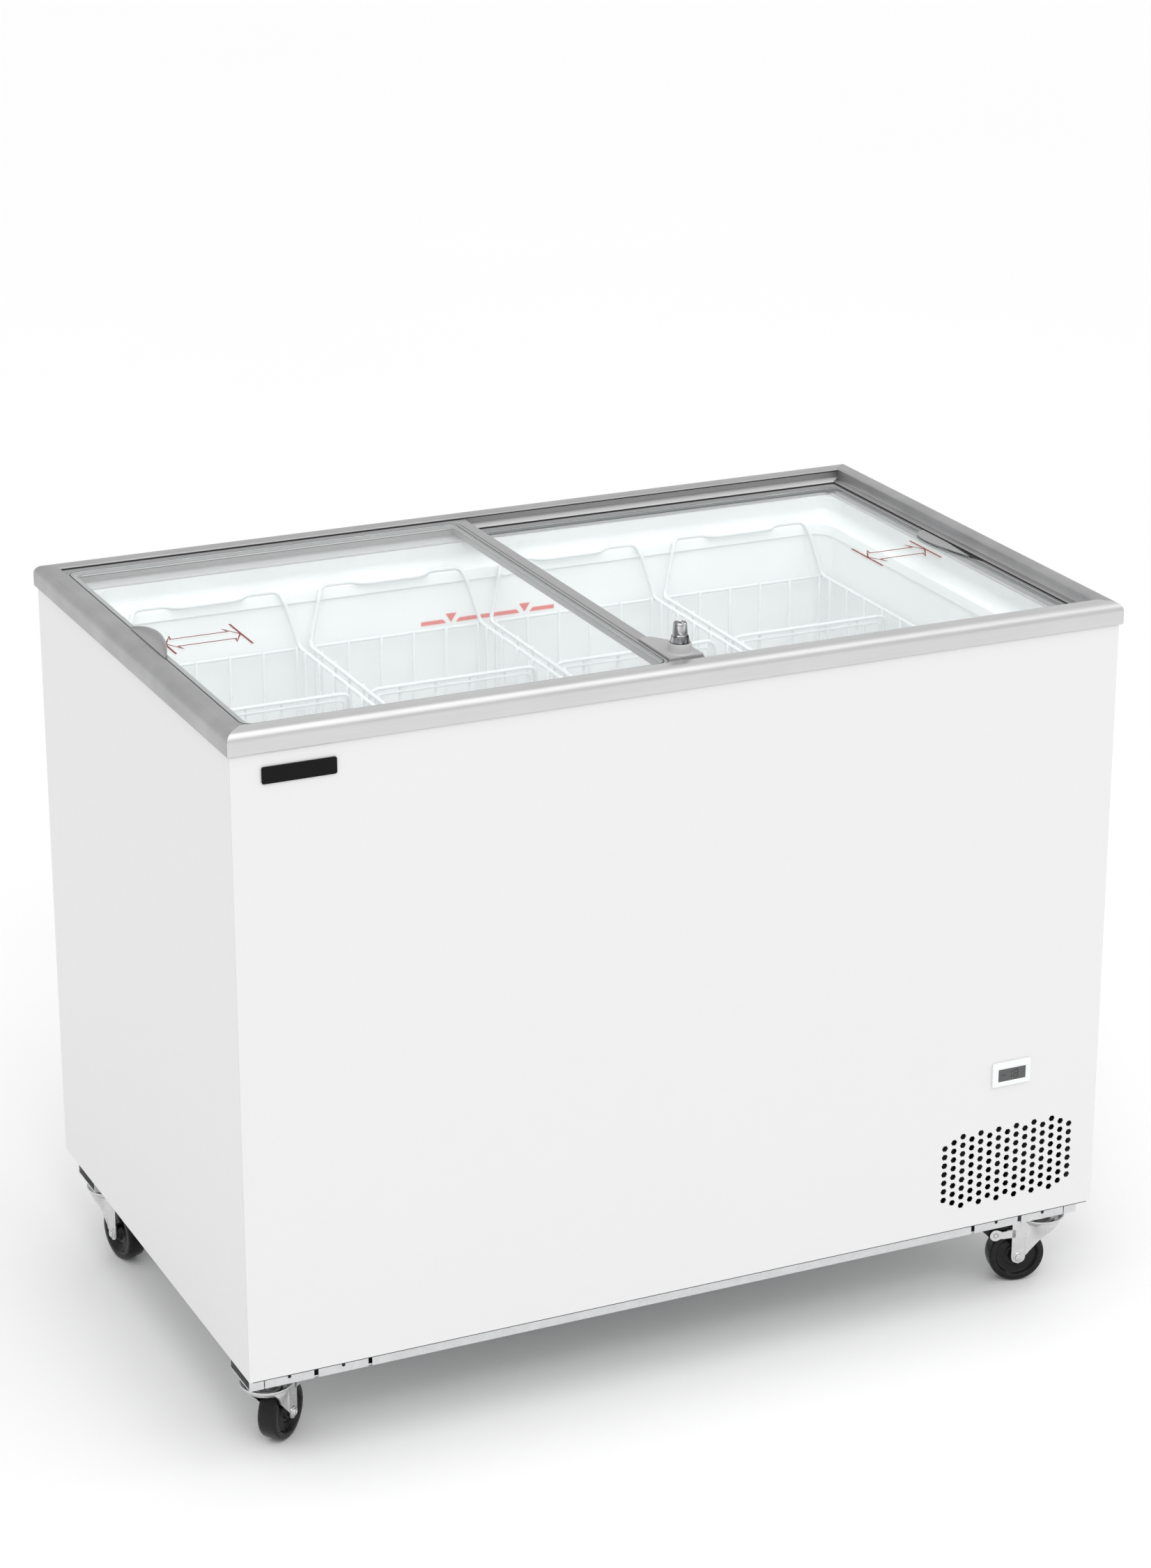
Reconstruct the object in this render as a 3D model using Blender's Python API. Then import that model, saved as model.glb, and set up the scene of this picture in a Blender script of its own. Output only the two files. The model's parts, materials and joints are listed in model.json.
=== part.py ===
"""Chest freezer with two sliding glass lids, four wire baskets and four swivel castors.

Metres, +Z up. The origin is on the floor, under the middle of the cabinet. The front faces -Y.
Places on the top frame are given as an inset from the cabinet's painted face and a height above the
cabinet's top edge, because all four sides share one section.
"""

import math

import bmesh
import bpy
from mathutils import Matrix, Vector
from mathutils.geometry import tessellate_polygon

# ---------------------------------------------------------------- driving dimensions
CABINET_WIDTH = 1.030
CABINET_DEPTH = 0.628
CABINET_HEIGHT = 0.697
FLOOR_CLEARANCE = 0.1105
SKIN = 0.0008
GAP = 0.0003

WALL = 0.054  # from the painted face to the tub's inner face
FLOOR_WALL = 0.060
LINER_SHEET = 0.002
TUB_CORNER_RADIUS = 0.030

MACHINE_ROOM_WIDTH = 0.240
MACHINE_ROOM_HEIGHT = 0.250
STEP_WALL = 0.050

FRAME_OVERHANG = 0.0035
FRAME_TOP = 0.026
LIP_INSET = 0.0205
UPPER_TRACK_INSET = 0.0095
UPPER_TRACK_HEIGHT = 0.014
UPPER_TRACK_EDGE = 0.032
LOWER_TRACK_INSET = 0.021
LOWER_TRACK_HEIGHT = 0.003
LOWER_TRACK_EDGE = 0.0455

LID_THICKNESS = 0.0072
GLASS_THICKNESS = 0.004
LID_FLOAT = 0.0006
UPPER_LID_BASE = UPPER_TRACK_HEIGHT + LID_FLOAT
LOWER_LID_BASE = LOWER_TRACK_HEIGHT + LID_FLOAT
UPPER_LID_RIGHT = 0.5140  # from the cabinet's left face
LOWER_LID_LEFT = 0.4900
MIDDLE_BAR_WIDTH = 0.0175
FLANGE_WIDTH = 0.008
LID_CORNER_RADIUS = 0.012

LOCK_X = 0.5195
LOCK_Y = 0.0490
LOCK_STROKE = 0.012

BASKET_COUNT = 4
BASKET_PITCH = 0.226
BASKET_SHIFT = 0.003
BASKET_WIDTH = 0.218
BASKET_DEPTH = 0.492
BASKET_RIM = -0.0905  # the rim's top, from the cabinet's top edge
BASKET_BOTTOM = -0.348
WIRE = 0.005
HANGER_HEIGHT = -0.0277
DIVIDER_Y = 0.388

CHANNEL_WIDTH = 0.060
CHANNEL_DEPTH = 0.0215
CHANNEL_INSET_X = 0.0065
CHANNEL_FRONT_Y = 0.019
CHANNEL_REAR_Y = 0.541
CHANNEL_SHEET = 0.0015

CASTOR_INSET_X = 0.036
CASTOR_FRONT_Y = 0.049
CASTOR_REAR_Y = 0.571
CASTOR_TRAIL = 0.029
WHEEL_RADIUS = 0.033
WHEEL_WIDTH = 0.022
LEG_INSIDE = 0.0138
LEG_SHEET = 0.0024
CASTORS = {  # name: (x, y, heading of the trail in degrees, has a brake)
    "front_left": (CASTOR_INSET_X, CASTOR_FRONT_Y, 41.0, True),
    "front_right": (CABINET_WIDTH - CASTOR_INSET_X, CASTOR_FRONT_Y, 166.0, True),
    "rear_left": (CASTOR_INSET_X, CASTOR_REAR_Y, -80.0, False),
    "rear_right": (CABINET_WIDTH - CASTOR_INSET_X, CASTOR_REAR_Y, -125.0, False),
}

VENT_COLUMNS = 15
VENT_COLUMN_PITCH = 0.01158
VENT_ROW_PITCH = 0.0107
VENT_CENTRE_X = 0.9153
VENT_CENTRE_Z = 0.072
VENT_RADIUS = 0.0040

CABINET_TOP = FLOOR_CLEARANCE + CABINET_HEIGHT


# ---------------------------------------------------------------- places
def at(x, y, height):
    """World point from the cabinet's left face, its front face and its top edge."""
    return Vector((x - CABINET_WIDTH / 2, y - CABINET_DEPTH / 2, CABINET_TOP + height))


def from_bottom(x, y, height):
    """World point with the height taken from the cabinet's bottom edge."""
    return at(x, y, height - CABINET_HEIGHT)


# ---------------------------------------------------------------- materials
COLOURS = {  # name: (colour, roughness, metallic)
    "white_paint": ((0.86, 0.86, 0.86), 0.35, 0.0),
    "white_plastic": ((0.88, 0.90, 0.90), 0.40, 0.0),
    "liner_white": ((0.85, 0.88, 0.88), 0.45, 0.0),
    "foam": ((0.82, 0.74, 0.50), 0.95, 0.0),
    "aluminium": ((0.62, 0.62, 0.62), 0.35, 1.0),
    "grey_plastic": ((0.42, 0.42, 0.42), 0.45, 0.0),
    "glass": ((0.85, 0.95, 0.93), 0.02, 0.0),
    "chrome": ((0.80, 0.80, 0.80), 0.10, 1.0),
    "galvanised": ((0.66, 0.67, 0.68), 0.42, 1.0),
    "zinc": ((0.74, 0.74, 0.74), 0.32, 1.0),
    "black_plastic": ((0.02, 0.02, 0.02), 0.45, 0.0),
    "badge_black": ((0.01, 0.01, 0.01), 0.25, 0.0),
    "display": ((0.10, 0.11, 0.11), 0.20, 0.0),
    "wire_white": ((0.88, 0.90, 0.90), 0.35, 0.0),
    "copper": ((0.72, 0.40, 0.26), 0.35, 1.0),
}


def material(name):
    found = bpy.data.materials.get(name)
    if found:
        return found
    colour, roughness, metallic = COLOURS[name]
    made = bpy.data.materials.new(name)
    made.use_nodes = True
    shader = made.node_tree.nodes["Principled BSDF"]
    shader.inputs["Base Color"].default_value = (*colour, 1.0)
    shader.inputs["Roughness"].default_value = roughness
    shader.inputs["Metallic"].default_value = metallic
    made.diffuse_color = (*colour, 1.0)
    return made


# ---------------------------------------------------------------- shape helpers
def add_object(name, bm, look, parent=None, smooth=False):
    """A named object from a bmesh, with its faces turned outwards."""
    bmesh.ops.remove_doubles(bm, verts=bm.verts, dist=1e-6)
    bmesh.ops.recalc_face_normals(bm, faces=bm.faces)
    if bm.calc_volume(signed=True) < 0:
        bmesh.ops.reverse_faces(bm, faces=bm.faces)
    mesh = bpy.data.meshes.new(name)
    bm.to_mesh(mesh)
    bm.free()
    mesh.materials.append(material(look))
    if smooth:
        mesh.shade_smooth()
        mesh.set_sharp_from_angle(angle=math.radians(35))
    obj = bpy.data.objects.new(name, mesh)
    bpy.context.scene.collection.objects.link(obj)
    obj.parent = parent
    return obj


def helper(obj):
    """Marks an object as a cutter or a union partner that isn't a part itself."""
    obj.hide_render = True
    obj.display_type = "WIRE"
    return obj


def combine(obj, other, operation):
    helper(other)
    step = obj.modifiers.new(f"{operation}_{other.name}", "BOOLEAN")
    step.operation = operation
    step.object = other
    step.solver = "EXACT"
    return obj


def pivot(name, place, turn=0.0):
    """An empty on a joint's axis, turned about Z by an angle in degrees."""
    empty = bpy.data.objects.new(name, None)
    empty.location = place
    empty.rotation_euler = (0.0, 0.0, math.radians(turn))
    bpy.context.scene.collection.objects.link(empty)
    return empty


def loft(bm, rings, closed=False):
    """Skins rings of equal length. Open lofts get a cap at each end."""
    rows = [[bm.verts.new(point) for point in ring] for ring in rings]
    pairs = list(zip(rows, rows[1:]))
    if closed:
        pairs.append((rows[-1], rows[0]))
    for first, second in pairs:
        for i in range(len(first)):
            j = (i + 1) % len(first)
            bm.faces.new((first[i], first[j], second[j], second[i]))
    if not closed:
        bm.faces.new(rows[0])
        bm.faces.new(rows[-1])
    return bm


def box(name, low, high, look, parent=None):
    bm = bmesh.new()
    low, high = Vector(low), Vector(high)
    bmesh.ops.create_cube(bm, size=1.0)
    size = high - low
    bmesh.ops.scale(bm, vec=size, verts=bm.verts)
    bmesh.ops.translate(bm, vec=(low + high) / 2, verts=bm.verts)
    return add_object(name, bm, look, parent)


def rounded(low, high, radius, steps=3):
    """Corner points of a rectangle with round corners, anticlockwise, from 2D corners."""
    (x0, y0), (x1, y1) = low, high
    points = []
    for cx, cy, start in (
        (x1 - radius, y1 - radius, 0),
        (x0 + radius, y1 - radius, 90),
        (x0 + radius, y0 + radius, 180),
        (x1 - radius, y0 + radius, 270),
    ):
        for i in range(steps + 1):
            angle = math.radians(start + 90 * i / steps)
            points.append((cx + radius * math.cos(angle), cy + radius * math.sin(angle)))
    return points


def circle(cx, cy, radius, count, start=0.0):
    return [
        (
            cx + radius * math.cos(start + 2 * math.pi * i / count),
            cy + radius * math.sin(start + 2 * math.pi * i / count),
        )
        for i in range(count)
    ]


def plate(bm, outline, low, high, holes=(), place=Matrix()):
    """A plate between two heights. A hole is a polygon, or a list of (polygon, height) from low to high."""
    stepped = [hole if isinstance(hole[0][0], (list, tuple)) else [(hole, low), (hole, high)] for hole in holes]

    def vertices(points, height):
        return [bm.verts.new(place @ Vector((u, v, height))) for u, v in points]

    walls = [[vertices(outline, low), vertices(outline, high)]]
    walls += [[vertices(points, height) for points, height in hole] for hole in stepped]
    for end, height, polygons in (
        (0, low, [outline] + [hole[0][0] for hole in stepped]),
        (-1, high, [outline] + [hole[-1][0] for hole in stepped]),
    ):
        flat = [vert for wall in walls for vert in wall[end]]
        loops = [[Vector((u, v, height)) for u, v in polygon] for polygon in polygons]
        for corners in tessellate_polygon(loops):
            bm.faces.new([flat[i] for i in corners])
    for wall in walls:
        for first, second in zip(wall, wall[1:]):
            for i in range(len(first)):
                j = (i + 1) % len(first)
                bm.faces.new((first[i], first[j], second[j], second[i]))
    return bm


def turned(bm, profile, count, place=Matrix(), closed=False):
    """Turns (radius, height) points about Z. A radius of 0 becomes a single point."""
    rows = []
    for radius, height in profile:
        if radius == 0:
            rows.append([bm.verts.new(place @ Vector((0, 0, height)))])
        else:
            rows.append([bm.verts.new(place @ Vector((x, y, height))) for x, y in circle(0, 0, radius, count)])
    pairs = list(zip(rows, rows[1:]))
    if closed:
        pairs.append((rows[-1], rows[0]))
    for first, second in pairs:
        for i in range(count):
            j = (i + 1) % count
            face = [first[i % len(first)], first[j % len(first)], second[j % len(second)], second[i % len(second)]]
            bm.faces.new(list(dict.fromkeys(face)))
    return bm


def tube(bm, path, radius, sides=6, closed=False):
    """A wire along a path, with a ring at each point square to the path there."""
    path = [Vector(point) for point in path]
    count = len(path)
    rings = []
    side = None
    for i, point in enumerate(path):
        before = path[i - 1] if closed or i else point
        after = path[(i + 1) % count] if closed or i < count - 1 else point
        along = (after - before).normalized()
        if side is None:
            side = along.orthogonal().normalized()
        side = (side - along * side.dot(along)).normalized()
        other = along.cross(side)
        rings.append(
            [
                point + radius * (math.cos(angle) * side + math.sin(angle) * other)
                for angle in (2 * math.pi * k / sides for k in range(sides))
            ]
        )
    return loft(bm, rings, closed)


# Maps a drawing in (X, height) onto the XZ plane, its third axis running towards +Y.
FACING_FRONT = Matrix(((1, 0, 0, 0), (0, 0, 1, 0), (0, 1, 0, 0), (0, 0, 0, 1)))


# ---------------------------------------------------------------- cabinet panels
def vent_holes():
    """Hexagons in staggered columns, with the end columns shortened to round off the field."""
    middle = (VENT_COLUMNS - 1) / 2
    holes = []
    for column in range(VENT_COLUMNS):
        rows = 9 if column % 2 == 0 else 8
        if column in (0, VENT_COLUMNS - 1):
            rows -= 2
        x = at(VENT_CENTRE_X + (column - middle) * VENT_COLUMN_PITCH, 0, 0).x
        for row in range(rows):
            z = FLOOR_CLEARANCE + VENT_CENTRE_Z + (row - (rows - 1) / 2) * VENT_ROW_PITCH
            holes.append(circle(x, z, VENT_RADIUS, 6))
    return holes


DISPLAY_LOW = (0.8994, 0.1747)
DISPLAY_HIGH = (0.9343, 0.1893)
BEZEL_LOW = (0.8915, 0.1693)
BEZEL_HIGH = (0.9402, 0.1980)


def on_front(point):
    """(x, height above the cabinet's bottom edge) as world X and Z."""
    place = from_bottom(point[0], 0, point[1])
    return place.x, place.z


def grown(low, high, by):
    return (low[0] - by, low[1] - by), (high[0] + by, high[1] + by)


def rectangle(low, high):
    return [(low[0], low[1]), (high[0], low[1]), (high[0], high[1]), (low[0], high[1])]


def make_panels():
    front = at(0, 0, 0).y
    low, high = on_front((0, 0)), on_front((CABINET_WIDTH, CABINET_HEIGHT))
    window = rectangle(*grown(on_front(DISPLAY_LOW), on_front(DISPLAY_HIGH), 0.0006))
    bm = plate(bmesh.new(), rectangle(low, high), front, front + SKIN, vent_holes() + [window], FACING_FRONT)
    add_object("front_panel", bm, "white_paint")
    inner = SKIN + GAP
    for name, x0, x1 in (
        ("left_panel", 0, SKIN),
        ("right_panel", CABINET_WIDTH - SKIN, CABINET_WIDTH),
    ):
        box(name, from_bottom(x0, inner, 0), at(x1, CABINET_DEPTH, 0), "white_paint")
    make_rear_panel(inner)
    box(
        "base_pan",
        from_bottom(inner, inner, 0),
        from_bottom(CABINET_WIDTH - inner, CABINET_DEPTH - inner, SKIN),
        "galvanised",
    )


def make_rear_panel(inner):
    """Rear sheet with a row of louvre slots for the machine room, an inlet hole and a knob hole."""
    rear = at(0, CABINET_DEPTH, 0).y
    low = on_front((inner, 0))
    high = on_front((CABINET_WIDTH - inner, CABINET_HEIGHT))
    holes = []
    for row in range(8):
        height = 0.040 + 0.020 * row
        holes.append(rectangle(on_front((0.860, height)), on_front((1.000, height + 0.007))))
    holes.append(rectangle(*grown(*inlet_opening(), 0.0004)))
    holes.append(circle(*on_front((KNOB_X, KNOB_Z)), KNOB_SHAFT_RADIUS + 0.0004, 12))
    bm = plate(bmesh.new(), rectangle(low, high), rear - SKIN, rear, holes, FACING_FRONT)
    add_object("rear_panel", bm, "white_paint")


INLET_X, INLET_Z = 0.822, 0.050
INLET_SIZE = (0.028, 0.020)
KNOB_X, KNOB_Z = 0.822, 0.120
KNOB_SHAFT_RADIUS = 0.005
KNOB_RADIUS = 0.013


def inlet_opening():
    half_x, half_z = INLET_SIZE[0] / 2, INLET_SIZE[1] / 2
    return on_front((INLET_X - half_x, INLET_Z - half_z)), on_front((INLET_X + half_x, INLET_Z + half_z))


def make_rear_fittings():
    """Flush appliance inlet with three pins in a recess, and the thermostat's slotted knob."""
    rear = at(0, CABINET_DEPTH, 0).y
    low, high = inlet_opening()
    body = plate(bmesh.new(), rectangle(low, high), rear - 0.016, rear + 0.0015, place=FACING_FRONT)
    inlet = add_object("power_inlet", body, "black_plastic")
    flange = plate(
        bmesh.new(),
        rounded(*grown(low, high, 0.006), 0.004),
        rear + GAP,
        rear + 0.0020,
        place=FACING_FRONT,
    )
    combine(inlet, add_object("inlet_flange", flange, "black_plastic"), "UNION")
    recess = plate(
        bmesh.new(),
        rectangle(*grown(low, high, -0.003)),
        rear - 0.012,
        rear + 0.004,
        place=FACING_FRONT,
    )
    combine(inlet, add_object("inlet_recess", recess, "black_plastic"), "DIFFERENCE")
    axis = pivot("thermostat_axis", (*on_front((KNOB_X, 0))[:1], rear, on_front((0, KNOB_Z))[1]))
    towards_rear = Matrix.Rotation(math.radians(-90), 4, "X")
    shaft = KNOB_SHAFT_RADIUS
    profile = [(0, -0.014), (shaft, -0.014), (shaft, GAP), (KNOB_RADIUS, GAP), (KNOB_RADIUS, 0.0025)]
    profile += [(KNOB_RADIUS - 0.0008, 0.0032), (0, 0.0032)]
    knob = turned(bmesh.new(), profile, 20, towards_rear)
    knob = add_object("thermostat_knob", knob, "black_plastic", axis, smooth=True)
    slot = box("knob_slot", (-0.009, 0.0020, -0.0012), (0.009, 0.0060, 0.0012), "black_plastic", axis)
    combine(knob, slot, "DIFFERENCE")


# ---------------------------------------------------------------- tub, insulation, cooling
def tub_shape(bm, spread, top, drop=0.0):
    """The tub's hollow with its raised floor over the machine room, grown by spread on each side."""
    inset = WALL - spread
    step_x = CABINET_WIDTH - MACHINE_ROOM_WIDTH - STEP_WALL + spread
    floor = FLOOR_WALL - CABINET_HEIGHT - drop
    step = MACHINE_ROOM_HEIGHT + STEP_WALL - CABINET_HEIGHT - drop
    left, right = inset, CABINET_WIDTH - inset
    outline = [(left, floor), (step_x, floor), (step_x, step), (right, step), (right, top), (left, top)]
    rings = [[at(x, y, z) for x, z in outline] for y in (inset, CABINET_DEPTH - inset)]
    loft(bm, rings)
    bmesh.ops.recalc_face_normals(bm, faces=bm.faces)
    upright = [
        edge
        for edge in bm.edges
        if edge.calc_length() > 0.1
        and abs(edge.verts[0].co.x - edge.verts[1].co.x) < 1e-6
        and abs(edge.verts[0].co.y - edge.verts[1].co.y) < 1e-6
    ]
    bmesh.ops.bevel(
        bm,
        geom=upright,
        offset=TUB_CORNER_RADIUS + spread,
        offset_type="OFFSET",
        segments=6,
        profile=0.5,
        affect="EDGES",
        clamp_overlap=False,
    )
    return bm


LINER_TOP = -0.0336


def make_tub():
    shell = tub_shape(bmesh.new(), LINER_SHEET, LINER_TOP, drop=LINER_SHEET)
    liner = add_object("inner_liner", shell, "liner_white", smooth=True)
    hollow = add_object("tub_hollow", tub_shape(bmesh.new(), 0.0, 0.050), "liner_white")
    combine(liner, hollow, "DIFFERENCE")
    make_foam()
    make_evaporator()
    make_collar()


def make_foam():
    """Insulation between the panels and the tub, cut away at the machine room and round the coil."""
    edge = SKIN + GAP
    foam = box(
        "foam_insulation",
        from_bottom(edge, edge, SKIN + GAP),
        at(CABINET_WIDTH - edge, CABINET_DEPTH - edge, -0.0035),
        "foam",
    )
    room = SKIN + GAP
    combine(
        foam,
        box(
            "room_cutter",
            from_bottom(CABINET_WIDTH - MACHINE_ROOM_WIDTH, -0.010, -0.010),
            from_bottom(CABINET_WIDTH + 0.010, CABINET_DEPTH + 0.010, MACHINE_ROOM_HEIGHT),
            "foam",
        ),
        "DIFFERENCE",
    )
    spread = LINER_SHEET + room
    tub = add_object("foam_tub_cutter", tub_shape(bmesh.new(), spread, 0.050, drop=spread), "foam")
    combine(foam, tub, "DIFFERENCE")
    low, high = at(COIL_INSET, COIL_INSET, 0), at(CABINET_WIDTH - COIL_INSET, CABINET_DEPTH - COIL_INSET, 0)
    band = plate(
        bmesh.new(),
        rounded(low.xy, high.xy, TUB_CORNER_RADIUS + WALL - COIL_INSET),
        CABINET_TOP + COIL_BOTTOM - 0.010,
        CABINET_TOP + COIL_TOP + 0.010,
    )
    combine(foam, add_object("coil_cutter", band, "foam"), "DIFFERENCE")
    collar_space = box(
        "collar_cutter",
        at(0.043, 0.043, -0.050),
        at(CABINET_WIDTH - 0.043, CABINET_DEPTH - 0.043, 0.050),
        "foam",
    )
    combine(foam, collar_space, "DIFFERENCE")


COIL_INSET = 0.041
COIL_TOP = -0.085
COIL_BOTTOM = -0.345
COIL_TURNS = 5
COIL_TUBE = 0.0035


def make_evaporator():
    """Refrigerant tube wound round the tub, one rounded rectangle a turn, rising steadily."""
    inset = WALL - LINER_SHEET - 0.0015 - COIL_TUBE
    low = at(inset, inset, 0).xy
    high = at(CABINET_WIDTH - inset, CABINET_DEPTH - inset, 0).xy
    turn = rounded(low, high, TUB_CORNER_RADIUS + WALL - inset)
    path = []
    total = COIL_TURNS * len(turn)
    for i in range(total):
        x, y = turn[i % len(turn)]
        path.append((x, y, CABINET_TOP + COIL_BOTTOM + (COIL_TOP - COIL_BOTTOM) * i / (total - 1)))
    add_object("evaporator_coil", tube(bmesh.new(), path, COIL_TUBE, 5), "copper", smooth=True)


def swept_frame(bm, section, square=0.010, steps=6):
    """Sweeps an (inset, height) section round the cabinet, with corners that follow the tub's.

    Points nearer the cabinet's face than square keep square corners.
    """
    centre = WALL + TUB_CORNER_RADIUS
    rings = []
    for x0, y0, start in (
        (CABINET_WIDTH - centre, CABINET_DEPTH - centre, 0),
        (centre, CABINET_DEPTH - centre, 90),
        (centre, centre, 180),
        (CABINET_WIDTH - centre, centre, 270),
    ):
        for i in range(steps + 1):
            angle = math.radians(start + 90 * i / steps)
            across, along = math.cos(angle), math.sin(angle)
            ring = []
            for inset, height in section:
                reach = centre - inset
                if inset < square:
                    reach /= max(abs(across), abs(along))
                ring.append(at(x0 + reach * across, y0 + reach * along, height))
            rings.append(ring)
    return loft(bm, rings, closed=True)


def make_collar():
    """White collar round the tub's mouth, with the ledge that the baskets' hangers rest on."""
    top = -GAP
    section = [(0.0025, top), (0.0450, top), (0.0480, -0.0305), (0.0570, -0.0305), (0.0570, -0.0440)]
    section += [(0.0545, -0.0440), (0.0545, -0.0330), (0.0460, -0.0330), (0.0435, -0.0028), (0.0025, -0.0028)]
    add_object("liner_collar", swept_frame(bmesh.new(), section), "white_plastic", smooth=True)


# ---------------------------------------------------------------- top frame
def rail_section():
    """Outer face, round nose, top lip, upper track, lower track, underside."""
    nose = 0.011
    centre = (nose - FRAME_OVERHANG, FRAME_TOP - nose)
    section = [(-FRAME_OVERHANG, 0.0015)]
    for i in range(6):
        angle = math.radians(180 - 18 * i)
        section.append((centre[0] + nose * math.cos(angle), centre[1] + nose * math.sin(angle)))
    section += [
        (LIP_INSET - 0.0018, FRAME_TOP),
        (LIP_INSET, FRAME_TOP - 0.0018),
        (LIP_INSET, 0.0234),
        (UPPER_TRACK_INSET, 0.0234),
        (UPPER_TRACK_INSET, UPPER_TRACK_HEIGHT),
        (UPPER_TRACK_EDGE - 0.0010, UPPER_TRACK_HEIGHT),
        (UPPER_TRACK_EDGE, UPPER_TRACK_HEIGHT - 0.0010),
        (UPPER_TRACK_EDGE, 0.0114),
        (LOWER_TRACK_INSET, 0.0114),
        (LOWER_TRACK_INSET, LOWER_TRACK_HEIGHT),
        (LOWER_TRACK_EDGE - 0.0006, LOWER_TRACK_HEIGHT),
        (LOWER_TRACK_EDGE, LOWER_TRACK_HEIGHT - 0.0010),
        (LOWER_TRACK_EDGE, GAP / 2),
        (-FRAME_OVERHANG + 0.0015, GAP / 2),
    ]
    return section


def make_top_frame():
    section = rail_section()
    width, depth = CABINET_WIDTH, CABINET_DEPTH
    joint = 0.0002
    sides = {
        "rail_front": [lambda i, z: at(i + joint, i, z), lambda i, z: at(width - i - joint, i, z)],
        "rail_rear": [lambda i, z: at(i + joint, depth - i, z), lambda i, z: at(width - i - joint, depth - i, z)],
        "rail_left": [lambda i, z: at(i, i + joint, z), lambda i, z: at(i, depth - i - joint, z)],
        "rail_right": [lambda i, z: at(width - i, i + joint, z), lambda i, z: at(width - i, depth - i - joint, z)],
    }
    for name, ends in sides.items():
        rings = [[end(inset, height) for inset, height in section] for end in ends]
        add_object(name, loft(bmesh.new(), rings), "aluminium", smooth=True)


# ---------------------------------------------------------------- lids
def lid_frame(name, outline, band, flange, base, parent, extra_holes=()):
    """Moulded surround: a full-height band with a thin flange under the glass's edge."""
    low = CABINET_TOP + base
    step = low + 0.0026
    high = low + LID_THICKNESS
    opening = [
        (rounded(*flange, LID_CORNER_RADIUS), low),
        (rounded(*flange, LID_CORNER_RADIUS), step),
        (rounded(*band, LID_CORNER_RADIUS), step),
        (rounded(*band, LID_CORNER_RADIUS), high),
    ]
    bm = plate(bmesh.new(), outline, low, high, [opening, *extra_holes])
    return add_object(name, bm, "grey_plastic", parent)


def lid_glass(name, band, base, parent):
    low = CABINET_TOP + base + 0.0026 + GAP
    bm = plate(
        bmesh.new(),
        rounded(*grown(*band, -GAP), LID_CORNER_RADIUS - GAP),
        low,
        low + GLASS_THICKNESS,
    )
    return add_object(name, bm, "glass", parent)


def flat(x, y):
    return tuple(at(x, y, 0).xy)


def make_upper_lid():
    """Left lid in the upper track, with the wide middle bar and the lock on its right side."""
    edge = UPPER_TRACK_INSET + 0.0015
    rear = CABINET_DEPTH - edge
    right = UPPER_LID_RIGHT
    tab = ((right, 0.106), (0.536, 0.078), (0.540, 0.068), (0.541, 0.032), (right, 0.032))
    outline = [flat(edge, edge), flat(right, edge)]
    outline += [flat(x, y) for x, y in reversed(tab)]
    outline += [flat(right, rear), flat(edge, rear)]
    band = (flat(0.0250, 0.0295), flat(right - MIDDLE_BAR_WIDTH, CABINET_DEPTH - 0.0295))
    flange = (flat(0.0330, 0.0320), flat(right - MIDDLE_BAR_WIDTH - FLANGE_WIDTH, CABINET_DEPTH - 0.0320))
    body = pivot("upper_lid_slide", at(right, CABINET_DEPTH / 2, UPPER_LID_BASE))
    inverse = Matrix.Translation(-body.location)
    lock_hole = circle(*flat(LOCK_X, LOCK_Y), 0.0092, 16)
    frame = lid_frame("upper_lid_frame", outline, band, flange, UPPER_LID_BASE, body, [lock_hole])
    glass = lid_glass("upper_lid_glass", band, UPPER_LID_BASE, body)
    grip = make_raised_grip(body)
    for part in (frame, glass, grip):
        part.matrix_parent_inverse = inverse
    make_lock(body, inverse)


GRIP_LENGTH = 0.114
GRIP_Y = 0.316


def crescent(bulge, length, steps=8):
    """Circular segment on a chord along Y, bulging towards +X, anticlockwise from its near tip."""
    radius = (length**2 / 4 + bulge**2) / (2 * bulge)
    half = math.asin(length / 2 / radius)
    points = []
    for i in range(steps + 1):
        angle = -half + 2 * half * i / steps
        points.append((radius * math.cos(angle) - radius + bulge, radius * math.sin(angle)))
    return points


def make_raised_grip(parent):
    """Crescent cup standing on the left edge of the upper lid, hollowed on its outer side."""
    base = CABINET_TOP + UPPER_LID_BASE + LID_THICKNESS + GAP
    place = Matrix.Translation((*flat(0.0240, GRIP_Y), 0))
    outer, inner = crescent(0.0150, GRIP_LENGTH), crescent(0.0118, GRIP_LENGTH - 0.012)
    bm = plate(bmesh.new(), outer, base, base + 0.0105, place=place)
    grip = add_object("upper_lid_grip", bm, "grey_plastic", parent)
    scoop = bmesh.new()
    lower = [place @ Vector((0.55 * x - 0.0060, 0.75 * y, base + 0.0022)) for x, y in inner]
    upper = [place @ Vector((x, y, base + 0.0120)) for x, y in inner]
    loft(scoop, [lower, upper])
    scoop = add_object("grip_scoop", scoop, "grey_plastic", parent)
    scoop.matrix_parent_inverse = Matrix.Translation(-parent.location)
    return combine(grip, scoop, "DIFFERENCE")


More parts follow.
